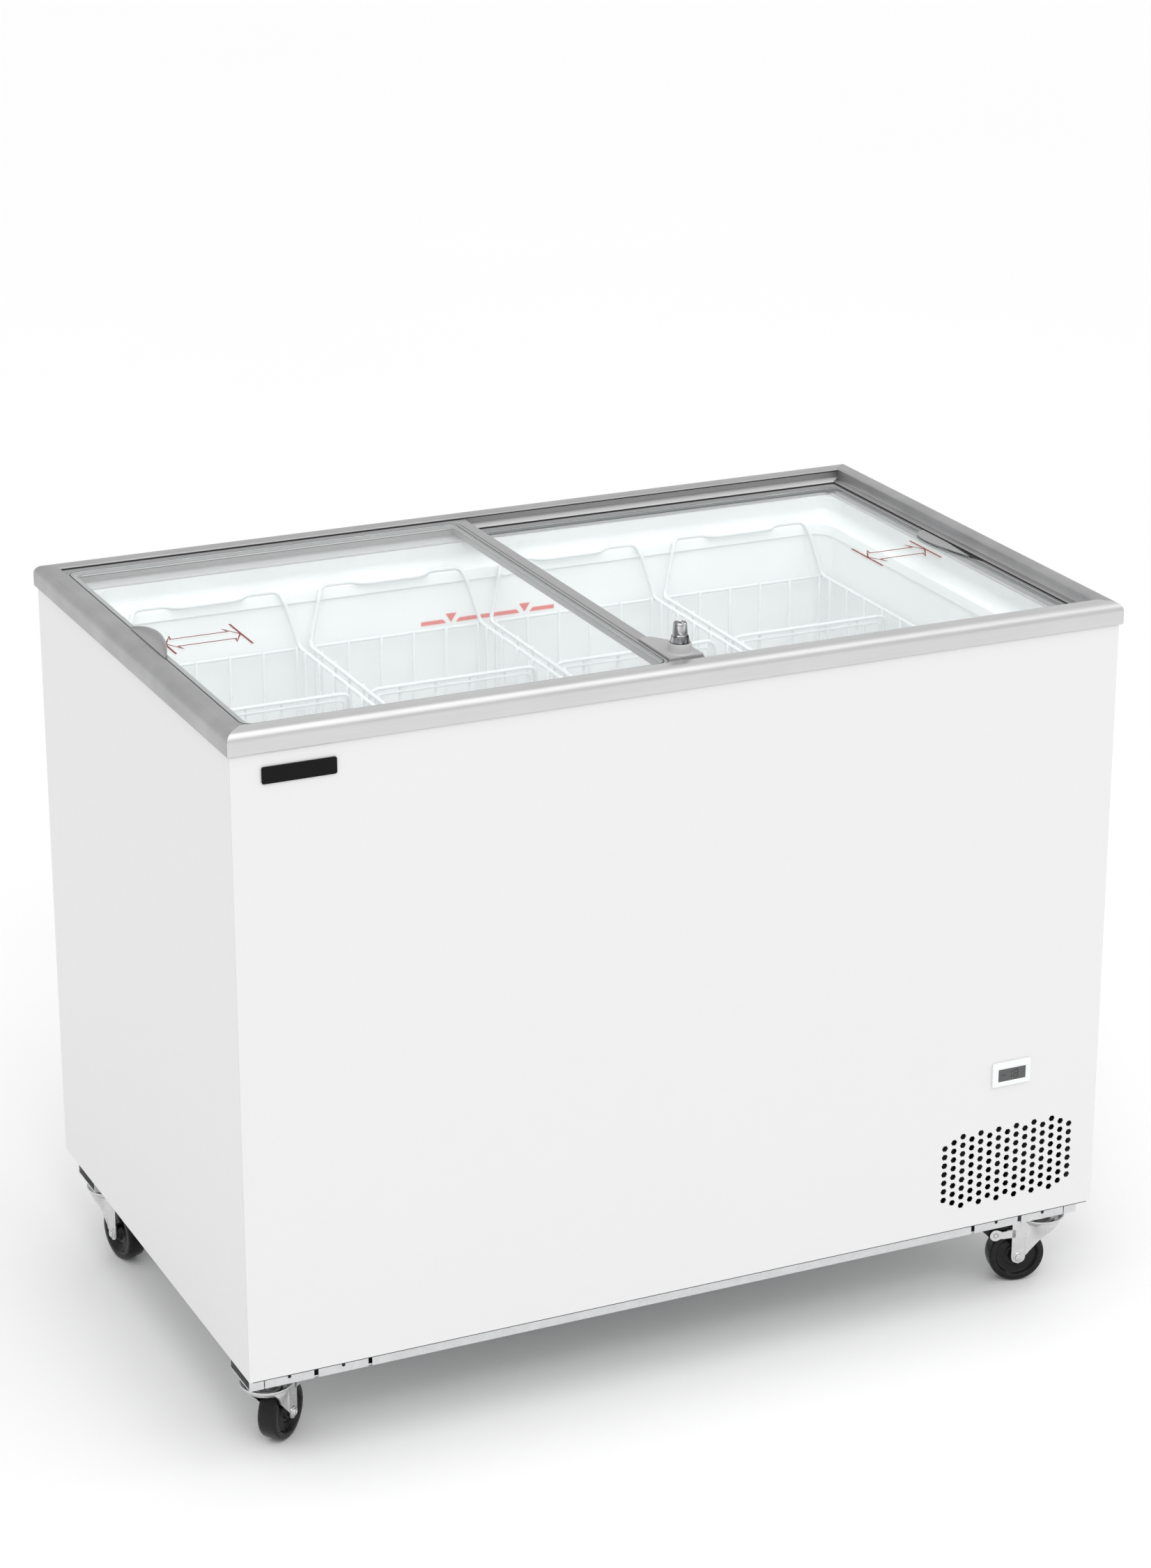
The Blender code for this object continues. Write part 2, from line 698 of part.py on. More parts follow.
def make_lock(lid, inverse):
    """Push lock: grey housing on the middle bar, fixed sleeve, push barrel and key plug."""
    top = CABINET_TOP + UPPER_LID_BASE + LID_THICKNESS + GAP
    foot = [(0.5000, 0.110), (0.5125, 0.110), (0.5340, 0.080), (0.5390, 0.066), (0.5400, 0.033), (0.5000, 0.033)]
    bm = plate(bmesh.new(), [flat(x, y) for x, y in reversed(foot)], top, top + 0.0028)
    housing = add_object("lock_housing", bm, "grey_plastic", lid)
    x, y = flat(LOCK_X, LOCK_Y)
    place = Matrix.Translation((x, y, top))
    column = turned(bmesh.new(), [(0, 0.001), (0.0140, 0.001), (0.0128, 0.0100), (0, 0.0100)], 24, place)
    column = add_object("lock_column", column, "grey_plastic", lid)
    bore = turned(bmesh.new(), [(0, -0.005), (0.0107, -0.005), (0.0107, 0.020), (0, 0.020)], 24, place)
    bore = add_object("lock_bore", bore, "grey_plastic", lid)
    combine(housing, column, "UNION")
    combine(housing, bore, "DIFFERENCE")
    sleeve = [(0.0090, 0.0004), (0.0104, 0.0004), (0.0104, 0.0195), (0.0096, 0.0205), (0.0090, 0.0205)]
    sleeve = turned(bmesh.new(), sleeve, 24, place, closed=True)
    sleeve = add_object("lock_sleeve", sleeve, "chrome", lid, smooth=True)
    for part in (housing, column, bore, sleeve):
        part.matrix_parent_inverse = inverse
    axis = pivot("lock_axis", (x, y, top + 0.035))
    back = Matrix.Translation(-axis.location)
    profile = [(0, 0.0015), (0.0040, 0.0015), (0.0040, 0.0120), (0.0085, 0.0120), (0.0085, 0.0325)]
    profile += [(0.0072, 0.0350), (0.0056, 0.0350), (0.0056, 0.0270), (0, 0.0270)]
    barrel = add_object("lock_barrel", turned(bmesh.new(), profile, 24, place), "chrome", axis, smooth=True)
    plug = [(0, 0.0273), (0.0052, 0.0273), (0.0052, 0.0346), (0, 0.0346)]
    plug = add_object("lock_key_plug", turned(bmesh.new(), plug, 20, place), "chrome", axis, smooth=True)
    keyway = box(
        "keyway",
        (x - 0.0009, y - 0.0034, top + 0.0300),
        (x + 0.0009, y + 0.0034, top + 0.0400),
        "chrome",
        axis,
    )
    combine(plug, keyway, "DIFFERENCE")
    for part in (barrel, plug, keyway):
        part.matrix_parent_inverse = back


def make_lower_lid():
    """Right lid in the lower track, which slides under the upper one."""
    edge = LOWER_TRACK_INSET + 0.0012
    rear = CABINET_DEPTH - edge
    left, right = LOWER_LID_LEFT, CABINET_WIDTH - edge
    outline = [flat(left, edge), flat(right, edge), flat(right, rear), flat(left, rear)]
    band = (flat(left + 0.015, 0.0420), flat(right - 0.0150, CABINET_DEPTH - 0.0420))
    flange = (flat(left + 0.0225, 0.0440), flat(right - 0.0225, CABINET_DEPTH - 0.0440))
    body = pivot("lower_lid_slide", at(left, CABINET_DEPTH / 2, LOWER_LID_BASE))
    frame = lid_frame("lower_lid_frame", outline, band, flange, LOWER_LID_BASE, body)
    glass = lid_glass("lower_lid_glass", band, LOWER_LID_BASE, body)
    base = CABINET_TOP + LOWER_LID_BASE + LID_THICKNESS + GAP
    place = Matrix.Translation((*flat(right - 0.0115, GRIP_Y), 0)) @ Matrix.Rotation(math.pi, 4, "Z")
    bm = plate(bmesh.new(), crescent(0.0190, GRIP_LENGTH), base, base + 0.0012, place=place)
    grip = add_object("lower_lid_grip", bm, "grey_plastic", body)
    for part in (frame, glass, grip):
        part.matrix_parent_inverse = Matrix.Translation(-body.location)


# ---------------------------------------------------------------- front fittings
def make_front_fittings():
    front = at(0, 0, 0).y
    badge = rounded(at(0.0328, 0, -0.0325).xz, at(0.1132, 0, -0.0145).xz, 0.0025)
    bm = plate(bmesh.new(), badge, front - 0.0020, front - GAP, place=FACING_FRONT)
    add_object("name_plate", bm, "badge_black")
    window = rectangle(*grown(on_front(DISPLAY_LOW), on_front(DISPLAY_HIGH), 0.0003))
    bezel = rounded(on_front(BEZEL_LOW), on_front(BEZEL_HIGH), 0.0015)
    bm = plate(bmesh.new(), bezel, front - 0.0028, front - GAP, [window], FACING_FRONT)
    add_object("thermometer_bezel", bm, "white_plastic")
    low, high = on_front(DISPLAY_LOW), on_front(DISPLAY_HIGH)
    bm = plate(bmesh.new(), rectangle(low, high), front - 0.0018, front + 0.0100, place=FACING_FRONT)
    add_object("thermometer_display", bm, "display")


# ---------------------------------------------------------------- machine room
def make_machine_room():
    """Condenser behind the vents, fan behind it, compressor at the rear."""
    fins = []
    base = SKIN + GAP
    width, height = 0.170, 0.150
    left = VENT_CENTRE_X - width / 2
    block = box(
        "condenser",
        from_bottom(left, 0.022, base),
        from_bottom(left + width, 0.058, base + height),
        "aluminium",
    )
    for i in range(8):
        x = left + 0.010 + i * (width - 0.020) / 7
        fins.append((x - 0.003, x + 0.003))
    cutter = bmesh.new()
    for x0, x1 in fins:
        low, high = from_bottom(x0, 0.015, base + 0.006), from_bottom(x1, 0.050, base + height - 0.006)
        loft(cutter, [[(low.x, y, low.z), (high.x, y, low.z), (high.x, y, high.z), (low.x, y, high.z)]
                      for y in (low.y, high.y)])
    combine(block, add_object("condenser_slots", cutter, "aluminium"), "DIFFERENCE")
    make_fan(VENT_CENTRE_X, 0.085, base + height / 2)
    make_compressor()


FAN_RADIUS = 0.056


def make_fan(x, y, height):
    """Shroud on the pan with a bridge that carries the motor, and a four-blade fan in front of it."""
    centre = from_bottom(x, y, height)
    half = 0.068
    foot = FLOOR_CLEARANCE + SKIN + GAP
    outline = rounded((centre.x - half, foot), (centre.x + half, centre.z + half), 0.006, 2)
    mouth = circle(centre.x, centre.z, FAN_RADIUS + 0.004, 20)
    bm = plate(bmesh.new(), outline, centre.y - 0.012, centre.y + 0.012, [mouth], FACING_FRONT)
    motor = add_object("fan_motor", bm, "black_plastic")
    bridge = box(
        "fan_bridge",
        (centre.x - half + 0.004, centre.y + 0.0130 - 0.003, centre.z - 0.009),
        (centre.x + half - 0.004, centre.y + 0.0150, centre.z + 0.009),
        "black_plastic",
    )
    towards_rear = Matrix.Translation(centre) @ Matrix.Rotation(math.radians(-90), 4, "X")
    can = [(0, 0.0073), (0.004, 0.0073), (0.004, 0.011), (0.024, 0.011), (0.024, 0.045), (0, 0.045)]
    can = turned(bmesh.new(), can, 16, towards_rear)
    combine(motor, bridge, "UNION")
    combine(motor, add_object("fan_can", can, "black_plastic"), "UNION")
    axis = pivot("fan_axis", centre)
    hub = turned(
        bmesh.new(),
        [(0, -0.008), (0.016, -0.008), (0.016, 0.007), (0, 0.007)],
        16,
        Matrix.Rotation(math.radians(-90), 4, "X"),
    )
    hub = add_object("fan_blade", hub, "black_plastic", axis)
    for i in range(4):
        bm = bmesh.new()
        turn = Matrix.Rotation(math.radians(90 * i), 4, "Y")
        rings = []
        for radius, half_width, pitch in ((0.012, 0.009, 35), (0.034, 0.015, 26), (FAN_RADIUS, 0.019, 18)):
            tilt = Matrix.Rotation(math.radians(pitch), 4, "X")
            corners = [(-half_width, -0.0008), (half_width, -0.0008), (half_width, 0.0008), (-half_width, 0.0008)]
            rings.append([turn @ (Vector((radius, 0, 0)) + tilt @ Vector((0, v, u))) for u, v in corners])
        loft(bm, rings)
        combine(hub, add_object(f"fan_vane_{i}", bm, "black_plastic", axis), "UNION")


def make_compressor():
    """Sealed oval can on a foot plate with its terminal cover."""
    centre = from_bottom(VENT_CENTRE_X, 0.450, 0)
    rings = []
    for radius, height in ((0.050, 0.014), (0.070, 0.022), (0.076, 0.050), (0.076, 0.120), (0.066, 0.160), (0.035, 0.178)):
        rings.append([(centre.x + 1.15 * u, centre.y + v, centre.z + height) for u, v in circle(0, 0, radius, 20)])
    can = add_object("compressor", loft(bmesh.new(), rings), "black_plastic", smooth=True)
    foot = plate(
        bmesh.new(),
        rounded((centre.x - 0.095, centre.y - 0.070), (centre.x + 0.095, centre.y + 0.070), 0.015, 2),
        centre.z + SKIN + GAP,
        centre.z + 0.018,
    )
    combine(can, add_object("compressor_foot", foot, "black_plastic"), "UNION")
    hollow = [
        [(centre.x + 1.15 * u, centre.y + v, centre.z + height) for u, v in circle(0, 0, radius, 20)]
        for radius, height in ((0.054, 0.0), (0.055, 0.125), (0.048, 0.148), (0.028, 0.160))
    ]
    combine(can, add_object("compressor_hollow", loft(bmesh.new(), hollow), "black_plastic"), "DIFFERENCE")
    cover = box(
        "compressor_cover",
        (centre.x - 0.028, centre.y - 0.095, centre.z + 0.050),
        (centre.x + 0.028, centre.y - 0.060, centre.z + 0.110),
        "black_plastic",
    )
    combine(can, cover, "UNION")


# ---------------------------------------------------------------- baskets
def basket_x(index):
    return CABINET_WIDTH / 2 + (index - (BASKET_COUNT - 1) / 2) * BASKET_PITCH + BASKET_SHIFT


def hanger_path(side):
    """Wire loop from one rim corner up to the collar's ledge and down to the other corner."""
    half = BASKET_WIDTH / 2 - WIRE / 2
    wall = BASKET_DEPTH / 2 - WIRE / 2
    rim, top = BASKET_RIM - WIRE / 2, HANGER_HEIGHT
    ledge = CABINET_DEPTH / 2 - 0.0525
    knee = ledge - 0.0090
    right = [
        (half, wall, rim - 0.004),
        (half, wall, rim),
        (half - 0.016, knee, top - 0.010),
        (half - 0.019, knee + 0.0020, top),
        (half - 0.024, ledge, top),
        (0.046, ledge, top),
        (0.034, ledge - 0.0080, top - 0.0005),
    ]
    path = right + [(-x, y, z) for x, y, z in reversed(right)]
    return [(x, side * y, CABINET_TOP + z) for x, y, z in path]


def make_basket_mesh():
    """One basket centred on X = 0: an open tray of wire walls with a hanger loop at each end."""
    half_x, half_y = BASKET_WIDTH / 2, BASKET_DEPTH / 2
    low, high = CABINET_TOP + BASKET_BOTTOM, CABINET_TOP + BASKET_RIM
    wall = 0.004
    basket = box("basket_shell", (-half_x, -half_y, low), (half_x, half_y, high), "wire_white")
    inside = box(
        "basket_hollow",
        (-half_x + wall, -half_y + wall, low + wall),
        (half_x - wall, half_y - wall, high + 0.050),
        "wire_white",
    )
    combine(basket, inside, "DIFFERENCE")
    openings = []
    bar, rail = 0.008, 0.014
    for side in (-1, 1):
        y0, y1 = sorted((side * bar, side * (half_y - bar - wall)))
        openings.append(((-half_x - 0.01, y0, low + rail), (half_x + 0.01, y1, high - rail)))
        openings.append(((-half_x + bar + wall, y0, low - 0.01), (half_x - bar - wall, y1, low + 0.02)))
    openings.append(((-half_x + bar + wall, -half_y - 0.01, low + rail), (half_x - bar - wall, half_y + 0.01, high - rail)))
    for i, (corner, opposite) in enumerate(openings):
        combine(basket, box(f"basket_opening_{i}", corner, opposite, "wire_white"), "DIFFERENCE")
    for side in (-1, 1):
        wire = add_object(f"basket_hanger_{side}", tube(bmesh.new(), hanger_path(side), WIRE / 2), "wire_white")
        combine(basket, wire, "UNION")
    return basket


def make_baskets():
    """Four copies of one evaluated basket, each with its cross divider."""
    pattern = make_basket_mesh()
    bpy.context.view_layer.update()
    graph = bpy.context.evaluated_depsgraph_get()
    mesh = bpy.data.meshes.new_from_object(pattern.evaluated_get(graph))
    helper(pattern)
    half = BASKET_WIDTH / 2 - 0.0055
    low, high = CABINET_TOP + BASKET_BOTTOM + 0.0045, CABINET_TOP + BASKET_RIM - 0.0025
    middle = (low + high) / 2
    windows = []
    for z0, z1 in ((low + 0.008, middle - 0.004), (middle + 0.004, high - 0.012)):
        for x0, x1 in ((-half + 0.008, -0.004), (0.004, half - 0.008)):
            windows.append(rectangle((x0, z0), (x1, z1)))
    y = at(0, DIVIDER_Y, 0).y
    for index in range(BASKET_COUNT):
        x = at(basket_x(index), 0, 0).x
        basket = bpy.data.objects.new(f"basket_{index + 1}", mesh)
        basket.location = (x, 0, 0)
        bpy.context.scene.collection.objects.link(basket)
        bm = plate(
            bmesh.new(),
            rectangle((-half, low), (half, high)),
            y - 0.0015,
            y + 0.0015,
            windows,
            FACING_FRONT,
        )
        add_object(f"basket_{index + 1}_divider", bm, "wire_white", basket)


# ---------------------------------------------------------------- base channels and castors
def make_channels():
    """Galvanised channels across the underside, open at both ends, that carry the castors."""
    top, bottom = -0.0003, -CHANNEL_DEPTH
    sheet = CHANNEL_SHEET
    for name, y0 in (("front_channel", CHANNEL_FRONT_Y), ("rear_channel", CHANNEL_REAR_Y)):
        y1 = y0 + CHANNEL_WIDTH
        section = [
            (y0, top), (y0, bottom), (y1, bottom), (y1, top), (y1 - 0.012, top), (y1 - 0.012, top - sheet),
            (y1 - sheet, top - sheet), (y1 - sheet, bottom + sheet), (y0 + sheet, bottom + sheet),
            (y0 + sheet, top - sheet), (y0 + 0.012, top - sheet), (y0 + 0.012, top),
        ]
        rings = [
            [from_bottom(x, y, z) for y, z in section]
            for x in (CHANNEL_INSET_X, CABINET_WIDTH - CHANNEL_INSET_X)
        ]
        channel = add_object(name, loft(bmesh.new(), rings), "galvanised")
        if name == "front_channel":
            combine(channel, make_channel_slots(y0), "DIFFERENCE")


def make_channel_slots(y0):
    """Folding slots through the front web, in mirrored groups near each end."""
    bm = bmesh.new()
    for near, far, top, bottom in (
        (0.0225, 0.0238, 0.0010, -0.0300),
        (0.0795, 0.0845, 0.0010, -0.0300),
        (0.1415, 0.1460, 0.0010, -0.0300),
        (0.0490, 0.0540, 0.0010, -0.0045),
        (0.1105, 0.1155, 0.0010, -0.0045),
    ):
        for x0, x1 in ((near, far), (CABINET_WIDTH - far, CABINET_WIDTH - near)):
            low, high = from_bottom(x0, y0 - 0.002, bottom), from_bottom(x1, y0 + 0.0025, top)
            corners = [(low.x, low.z), (high.x, low.z), (high.x, high.z), (low.x, high.z)]
            loft(bm, [[(x, y, z) for x, z in corners] for y in (low.y, high.y)])
    return add_object("channel_slots", bm, "galvanised")


HEAD_TOP = FLOOR_CLEARANCE - CHANNEL_DEPTH - GAP
PLATE_LOW, PLATE_HIGH = 0.0715, 0.0740
PIN_RADIUS = 0.0080
EYE_X, EYE_Z = CASTOR_TRAIL + 0.028, WHEEL_RADIUS + 0.030
AXLE_RADIUS = 0.0040
SIDEWAYS = Matrix.Rotation(math.radians(90), 4, "X")


def castor_head(name, place):
    """Fixed flange and king pin, with a riveted foot that holds the fork up."""
    profile = [(0, 0.0672), (0.0125, 0.0672), (0.0125, PLATE_LOW - GAP), (PIN_RADIUS, PLATE_LOW - GAP)]
    profile += [(PIN_RADIUS, PLATE_HIGH + GAP), (0.0170, PLATE_HIGH + GAP), (0.0170, 0.0780), (0.0100, 0.0800)]
    profile += [(0.0100, 0.0850), (0.0215, 0.0850), (0.0215, HEAD_TOP), (0, HEAD_TOP)]
    add_object(f"castor_{name}_head", turned(bmesh.new(), profile, 16), "zinc", place, smooth=True)


def castor_fork(name, swivel, brake):
    """Pressed bowl with two tapering legs, and on a braked castor two arms to the pedal's pin."""
    bowl = [(PIN_RADIUS + 0.0004, PLATE_LOW), (0.0220, PLATE_LOW), (0.0285, 0.0790), (0.0285, 0.0810)]
    bowl += [(0.0265, 0.0810), (0.0205, PLATE_HIGH), (PIN_RADIUS + 0.0004, PLATE_HIGH)]
    fork = turned(bmesh.new(), bowl, 24, closed=True)
    fork = add_object(f"castor_{name}_fork", fork, "zinc", swivel, smooth=True)
    axle_z, trail, foot = WHEEL_RADIUS, CASTOR_TRAIL, 0.0085
    foot_arc = [math.radians(-38 - 142 * i / 5 + 180 + 180) for i in range(6)]
    outline = [(trail + foot, 0.0735), (-0.0215, 0.0735), (-0.0190, 0.0690)]
    outline += [(trail + foot * math.cos(a), axle_z + foot * math.sin(a)) for a in reversed(foot_arc[:-1])]
    outline += [(trail + foot, axle_z)]
    for side in (-1, 1):
        y0, y1 = sorted((side * LEG_INSIDE, side * (LEG_INSIDE + LEG_SHEET)))
        leg = plate(bmesh.new(), outline, y0, y1, place=FACING_FRONT)
        combine(fork, add_object(f"castor_{name}_leg_{side}", leg, "zinc", swivel), "UNION")
        if brake:
            arm = [(trail + 0.002, 0.0600), (EYE_X - 0.004, EYE_Z - 0.006)]
            arm += [(EYE_X + x, EYE_Z + z) for x, z in circle(0, 0, 0.0070, 12, math.radians(-105))[:9]]
            arm += [(EYE_X - 0.008, EYE_Z + 0.003), (trail + 0.002, 0.0680)]
            arm = plate(bmesh.new(), arm, y0, y1, place=FACING_FRONT)
            combine(fork, add_object(f"castor_{name}_arm_{side}", arm, "zinc", swivel), "UNION")
    drill(fork, name, swivel, trail, axle_z, AXLE_RADIUS + 0.0003, "axle")
    if brake:
        drill(fork, name, swivel, EYE_X, EYE_Z, 0.0030, "eye")
    return fork


def drill(fork, name, swivel, x, z, radius, label):
    place = Matrix.Translation((x, 0, z)) @ SIDEWAYS
    cutter = turned(bmesh.new(), [(0, -0.03), (radius, -0.03), (radius, 0.03), (0, 0.03)], 12, place)
    combine(fork, add_object(f"castor_{name}_{label}_drill", cutter, "zinc", swivel), "DIFFERENCE")


def castor_axle(name, swivel):
    outside = LEG_INSIDE + LEG_SHEET + GAP
    half = [(0, outside + 0.0030), (0.0045, outside + 0.0030), (0.0062, outside + 0.0018), (0.0062, outside)]
    half += [(AXLE_RADIUS, outside)]
    profile = half + [(radius, -height) for radius, height in reversed(half)]
    place = Matrix.Translation((CASTOR_TRAIL, 0, WHEEL_RADIUS)) @ SIDEWAYS
    bm = turned(bmesh.new(), profile, 12, place)
    add_object(f"castor_{name}_axle", bm, "zinc", swivel, smooth=True)


def castor_wheel(name, swivel):
    """One-piece wheel with a flat rim ring, dished sides and a raised hub."""
    half = WHEEL_WIDTH / 2
    bore = AXLE_RADIUS + 0.0003
    side = [(bore, half + 0.0020), (0.0080, half + 0.0020), (0.0105, half - 0.0050), (0.0225, half - 0.0050)]
    side += [(0.0255, half), (0.0315, half), (WHEEL_RADIUS, half - 0.0020)]
    profile = side + [(radius, -height) for radius, height in reversed(side)]
    axle = pivot(f"castor_{name}_spin", (CASTOR_TRAIL, 0, WHEEL_RADIUS))
    axle.parent = swivel
    bm = turned(bmesh.new(), profile, 24, SIDEWAYS, closed=True)
    add_object(f"castor_{name}_wheel", bm, "black_plastic", axle, smooth=True)


def castor_brake(name, swivel):
    """Black pedal on its pin behind the wheel. The cam below the pin nears the tread as the pedal goes down."""
    axle = pivot(f"castor_{name}_brake_pin", (EYE_X, 0, EYE_Z))
    axle.parent = swivel
    half = LEG_INSIDE - 0.0012
    outline = [(-0.0150, 0.0050), (-0.0090, -0.0015), (-0.0039, -0.0065), (0.0035, -0.0068), (0.0110, 0.0010)]
    outline += [(0.0240, 0.0125), (0.0240, 0.0155), (0.0080, 0.0135), (-0.0150, 0.0095)]
    pedal = plate(bmesh.new(), outline, -half, half, place=FACING_FRONT)
    pedal = add_object(f"castor_{name}_brake", pedal, "black_plastic", axle)
    reach = LEG_INSIDE + LEG_SHEET
    pin = turned(bmesh.new(), [(0, -reach), (0.0026, -reach), (0.0026, reach), (0, reach)], 10, SIDEWAYS)
    combine(pedal, add_object(f"castor_{name}_pin", pin, "black_plastic", axle), "UNION")


def make_castors():
    for name, (x, y, heading, brake) in CASTORS.items():
        spot = at(x, y, 0)
        swivel = pivot(f"castor_{name}_swivel", (spot.x, spot.y, 0), heading)
        castor_head(name, swivel)
        castor_fork(name, swivel, brake)
        castor_axle(name, swivel)
        castor_wheel(name, swivel)
        if brake:
            castor_brake(name, swivel)


def clear_scene():
    for obj in list(bpy.data.objects):
        bpy.data.objects.remove(obj, do_unlink=True)


clear_scene()
make_panels()
make_rear_fittings()
make_tub()
make_top_frame()
make_upper_lid()
make_lower_lid()
make_front_fittings()
make_machine_room()
make_baskets()
make_channels()
make_castors()
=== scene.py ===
"""Looks for the chest freezer: finer visible pieces, procedural materials, studio light and camera."""

import json
import math
from collections import namedtuple

import bmesh
import bpy
from mathutils import Matrix, Vector
from mathutils.geometry import tessellate_polygon

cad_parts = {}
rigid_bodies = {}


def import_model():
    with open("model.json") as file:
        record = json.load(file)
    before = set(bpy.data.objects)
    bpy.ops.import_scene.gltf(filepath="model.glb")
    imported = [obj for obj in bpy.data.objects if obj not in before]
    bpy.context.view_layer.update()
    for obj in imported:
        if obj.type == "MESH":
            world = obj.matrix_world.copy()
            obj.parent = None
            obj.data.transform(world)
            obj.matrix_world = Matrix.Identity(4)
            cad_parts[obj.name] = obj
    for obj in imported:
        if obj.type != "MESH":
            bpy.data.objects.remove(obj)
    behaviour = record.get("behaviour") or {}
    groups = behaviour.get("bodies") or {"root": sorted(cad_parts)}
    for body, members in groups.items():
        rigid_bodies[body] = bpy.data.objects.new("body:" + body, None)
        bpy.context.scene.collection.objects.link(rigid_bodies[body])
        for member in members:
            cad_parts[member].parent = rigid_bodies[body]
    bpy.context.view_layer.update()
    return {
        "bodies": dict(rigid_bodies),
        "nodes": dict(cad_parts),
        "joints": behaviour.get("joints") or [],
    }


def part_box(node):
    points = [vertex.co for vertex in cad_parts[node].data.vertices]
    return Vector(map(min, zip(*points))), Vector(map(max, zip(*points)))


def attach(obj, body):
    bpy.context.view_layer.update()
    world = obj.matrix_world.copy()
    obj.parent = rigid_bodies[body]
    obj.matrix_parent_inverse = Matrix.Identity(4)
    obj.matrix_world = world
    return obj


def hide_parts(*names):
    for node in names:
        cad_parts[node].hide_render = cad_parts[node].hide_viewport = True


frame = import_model()
nodes = frame["nodes"]

# ---- places, all taken from the frame
panel_low, panel_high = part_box("front_panel")
X0, Y0, TOP, BOTTOM = panel_low.x, panel_low.y, panel_high.z, panel_low.z
WIDTH = panel_high.x - panel_low.x
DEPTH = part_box("rear_panel")[1].y - Y0
joints = {joint["name"]: joint for joint in frame["joints"]}


def at(x, y, height):
    """World point from the left face, the front face and the cabinet's top edge."""
    return Vector((X0 + x, Y0 + y, TOP + height))


# ---- materials
class Look:
    """A Principled material with object-space noise for its colour, gloss and surface."""

    def __init__(self, name, colour, roughness, metallic=0.0, **sockets):
        self.material = bpy.data.materials.new(name)
        self.material.use_nodes = True
        self.tree = self.material.node_tree
        self.shader = self.tree.nodes["Principled BSDF"]
        self.colour, self.roughness = colour, roughness
        self.shader.inputs["Base Color"].default_value = (*colour, 1.0)
        self.shader.inputs["Roughness"].default_value = roughness
        self.shader.inputs["Metallic"].default_value = metallic
        for socket, value in sockets.items():
            self.shader.inputs[socket.replace("_", " ")].default_value = value
        self.height = None

    def node(self, kind, **inputs):
        made = self.tree.nodes.new(kind)
        for name, value in inputs.items():
            made.inputs[name.replace("_", " ")].default_value = value
        return made

    def link(self, output, socket):
        self.tree.links.new(output, socket)

    def noise(self, scale, stretch=(1, 1, 1), detail=3.0, rough=0.55):
        place = self.node("ShaderNodeTexCoord")
        mapping = self.node("ShaderNodeMapping", Scale=stretch)
        texture = self.node("ShaderNodeTexNoise", Scale=scale, Detail=detail, Roughness=rough)
        self.link(place.outputs["Object"], mapping.inputs["Vector"])
        self.link(mapping.outputs["Vector"], texture.inputs["Vector"])
        return texture.outputs["Fac"]

    def spread(self, factor, low, high):
        """Maps the middle of a noise onto low to high."""
        ramp = self.node("ShaderNodeMapRange", From_Min=0.3, From_Max=0.7, To_Min=low, To_Max=high)
        self.link(factor, ramp.inputs["Value"])
        return ramp.outputs["Result"]

    def mottle(self, factor, amount):
        """Varies the colour's brightness by amount either way."""
        mix = self.tree.nodes.new("ShaderNodeMix")
        mix.data_type = "RGBA"
        mix.blend_type = "MULTIPLY"
        mix.inputs[0].default_value = 1.0
        shade = self.tree.nodes.new("ShaderNodeCombineColor")
        value = self.spread(factor, 1 - amount, 1 + amount)
        for channel in ("Red", "Green", "Blue"):
            self.link(value, shade.inputs[channel])
        socket = self.shader.inputs["Base Color"]
        if socket.is_linked:
            self.link(socket.links[0].from_socket, mix.inputs[6])
        else:
            mix.inputs[6].default_value = (*self.colour, 1.0)
        self.link(shade.outputs["Color"], mix.inputs[7])
        self.link(mix.outputs[2], socket)
        return self

    def gloss(self, factor, amount):
        value = self.spread(factor, max(0.02, self.roughness - amount), self.roughness + amount)
        self.link(value, self.shader.inputs["Roughness"])
        return self

    def bump(self, factor, depth, strength=1.0):
        bump = self.node("ShaderNodeBump", Strength=strength, Distance=depth)
        self.link(factor, bump.inputs["Height"])
        socket = self.shader.inputs["Normal"]
        if socket.is_linked:
            self.link(socket.links[0].from_socket, bump.inputs["Normal"])
        self.link(bump.outputs["Normal"], socket)
        return self


def powder_coat(name, colour):
    look = Look(name, colour, 0.34, Coat_Weight=0.15, Coat_Roughness=0.2)
    look.mottle(look.noise(2.2), 0.003).gloss(look.noise(60), 0.03)
    return look.bump(look.noise(420, detail=1.5), 0.00004).bump(look.noise(9), 0.00015, 0.5)


def brushed(name, colour, roughness, along, mottling=0.03):
    """Aluminium with fine lines along one axis and cloudy lighter and darker patches."""
    stretch = [1.0, 1.0, 1.0]
    stretch[along] = 0.012
    look = Look(name, colour, roughness, 1.0, Anisotropic=0.35)
    look.mottle(look.noise(900, stretch, 2.0), 0.022).mottle(look.noise(14), mottling)
    look.gloss(look.noise(600, stretch, 2.0), 0.05)
    return look.bump(look.noise(1400, stretch, 2.0), 0.00002, 0.4)


def moulded(name, colour, roughness=0.42, grain=0.00005, specular=0.5):
    look = Look(name, colour, roughness, Specular_IOR_Level=specular)
    look.mottle(look.noise(5), 0.02).gloss(look.noise(80), 0.05)
    return look.bump(look.noise(1600, detail=1.0), grain)


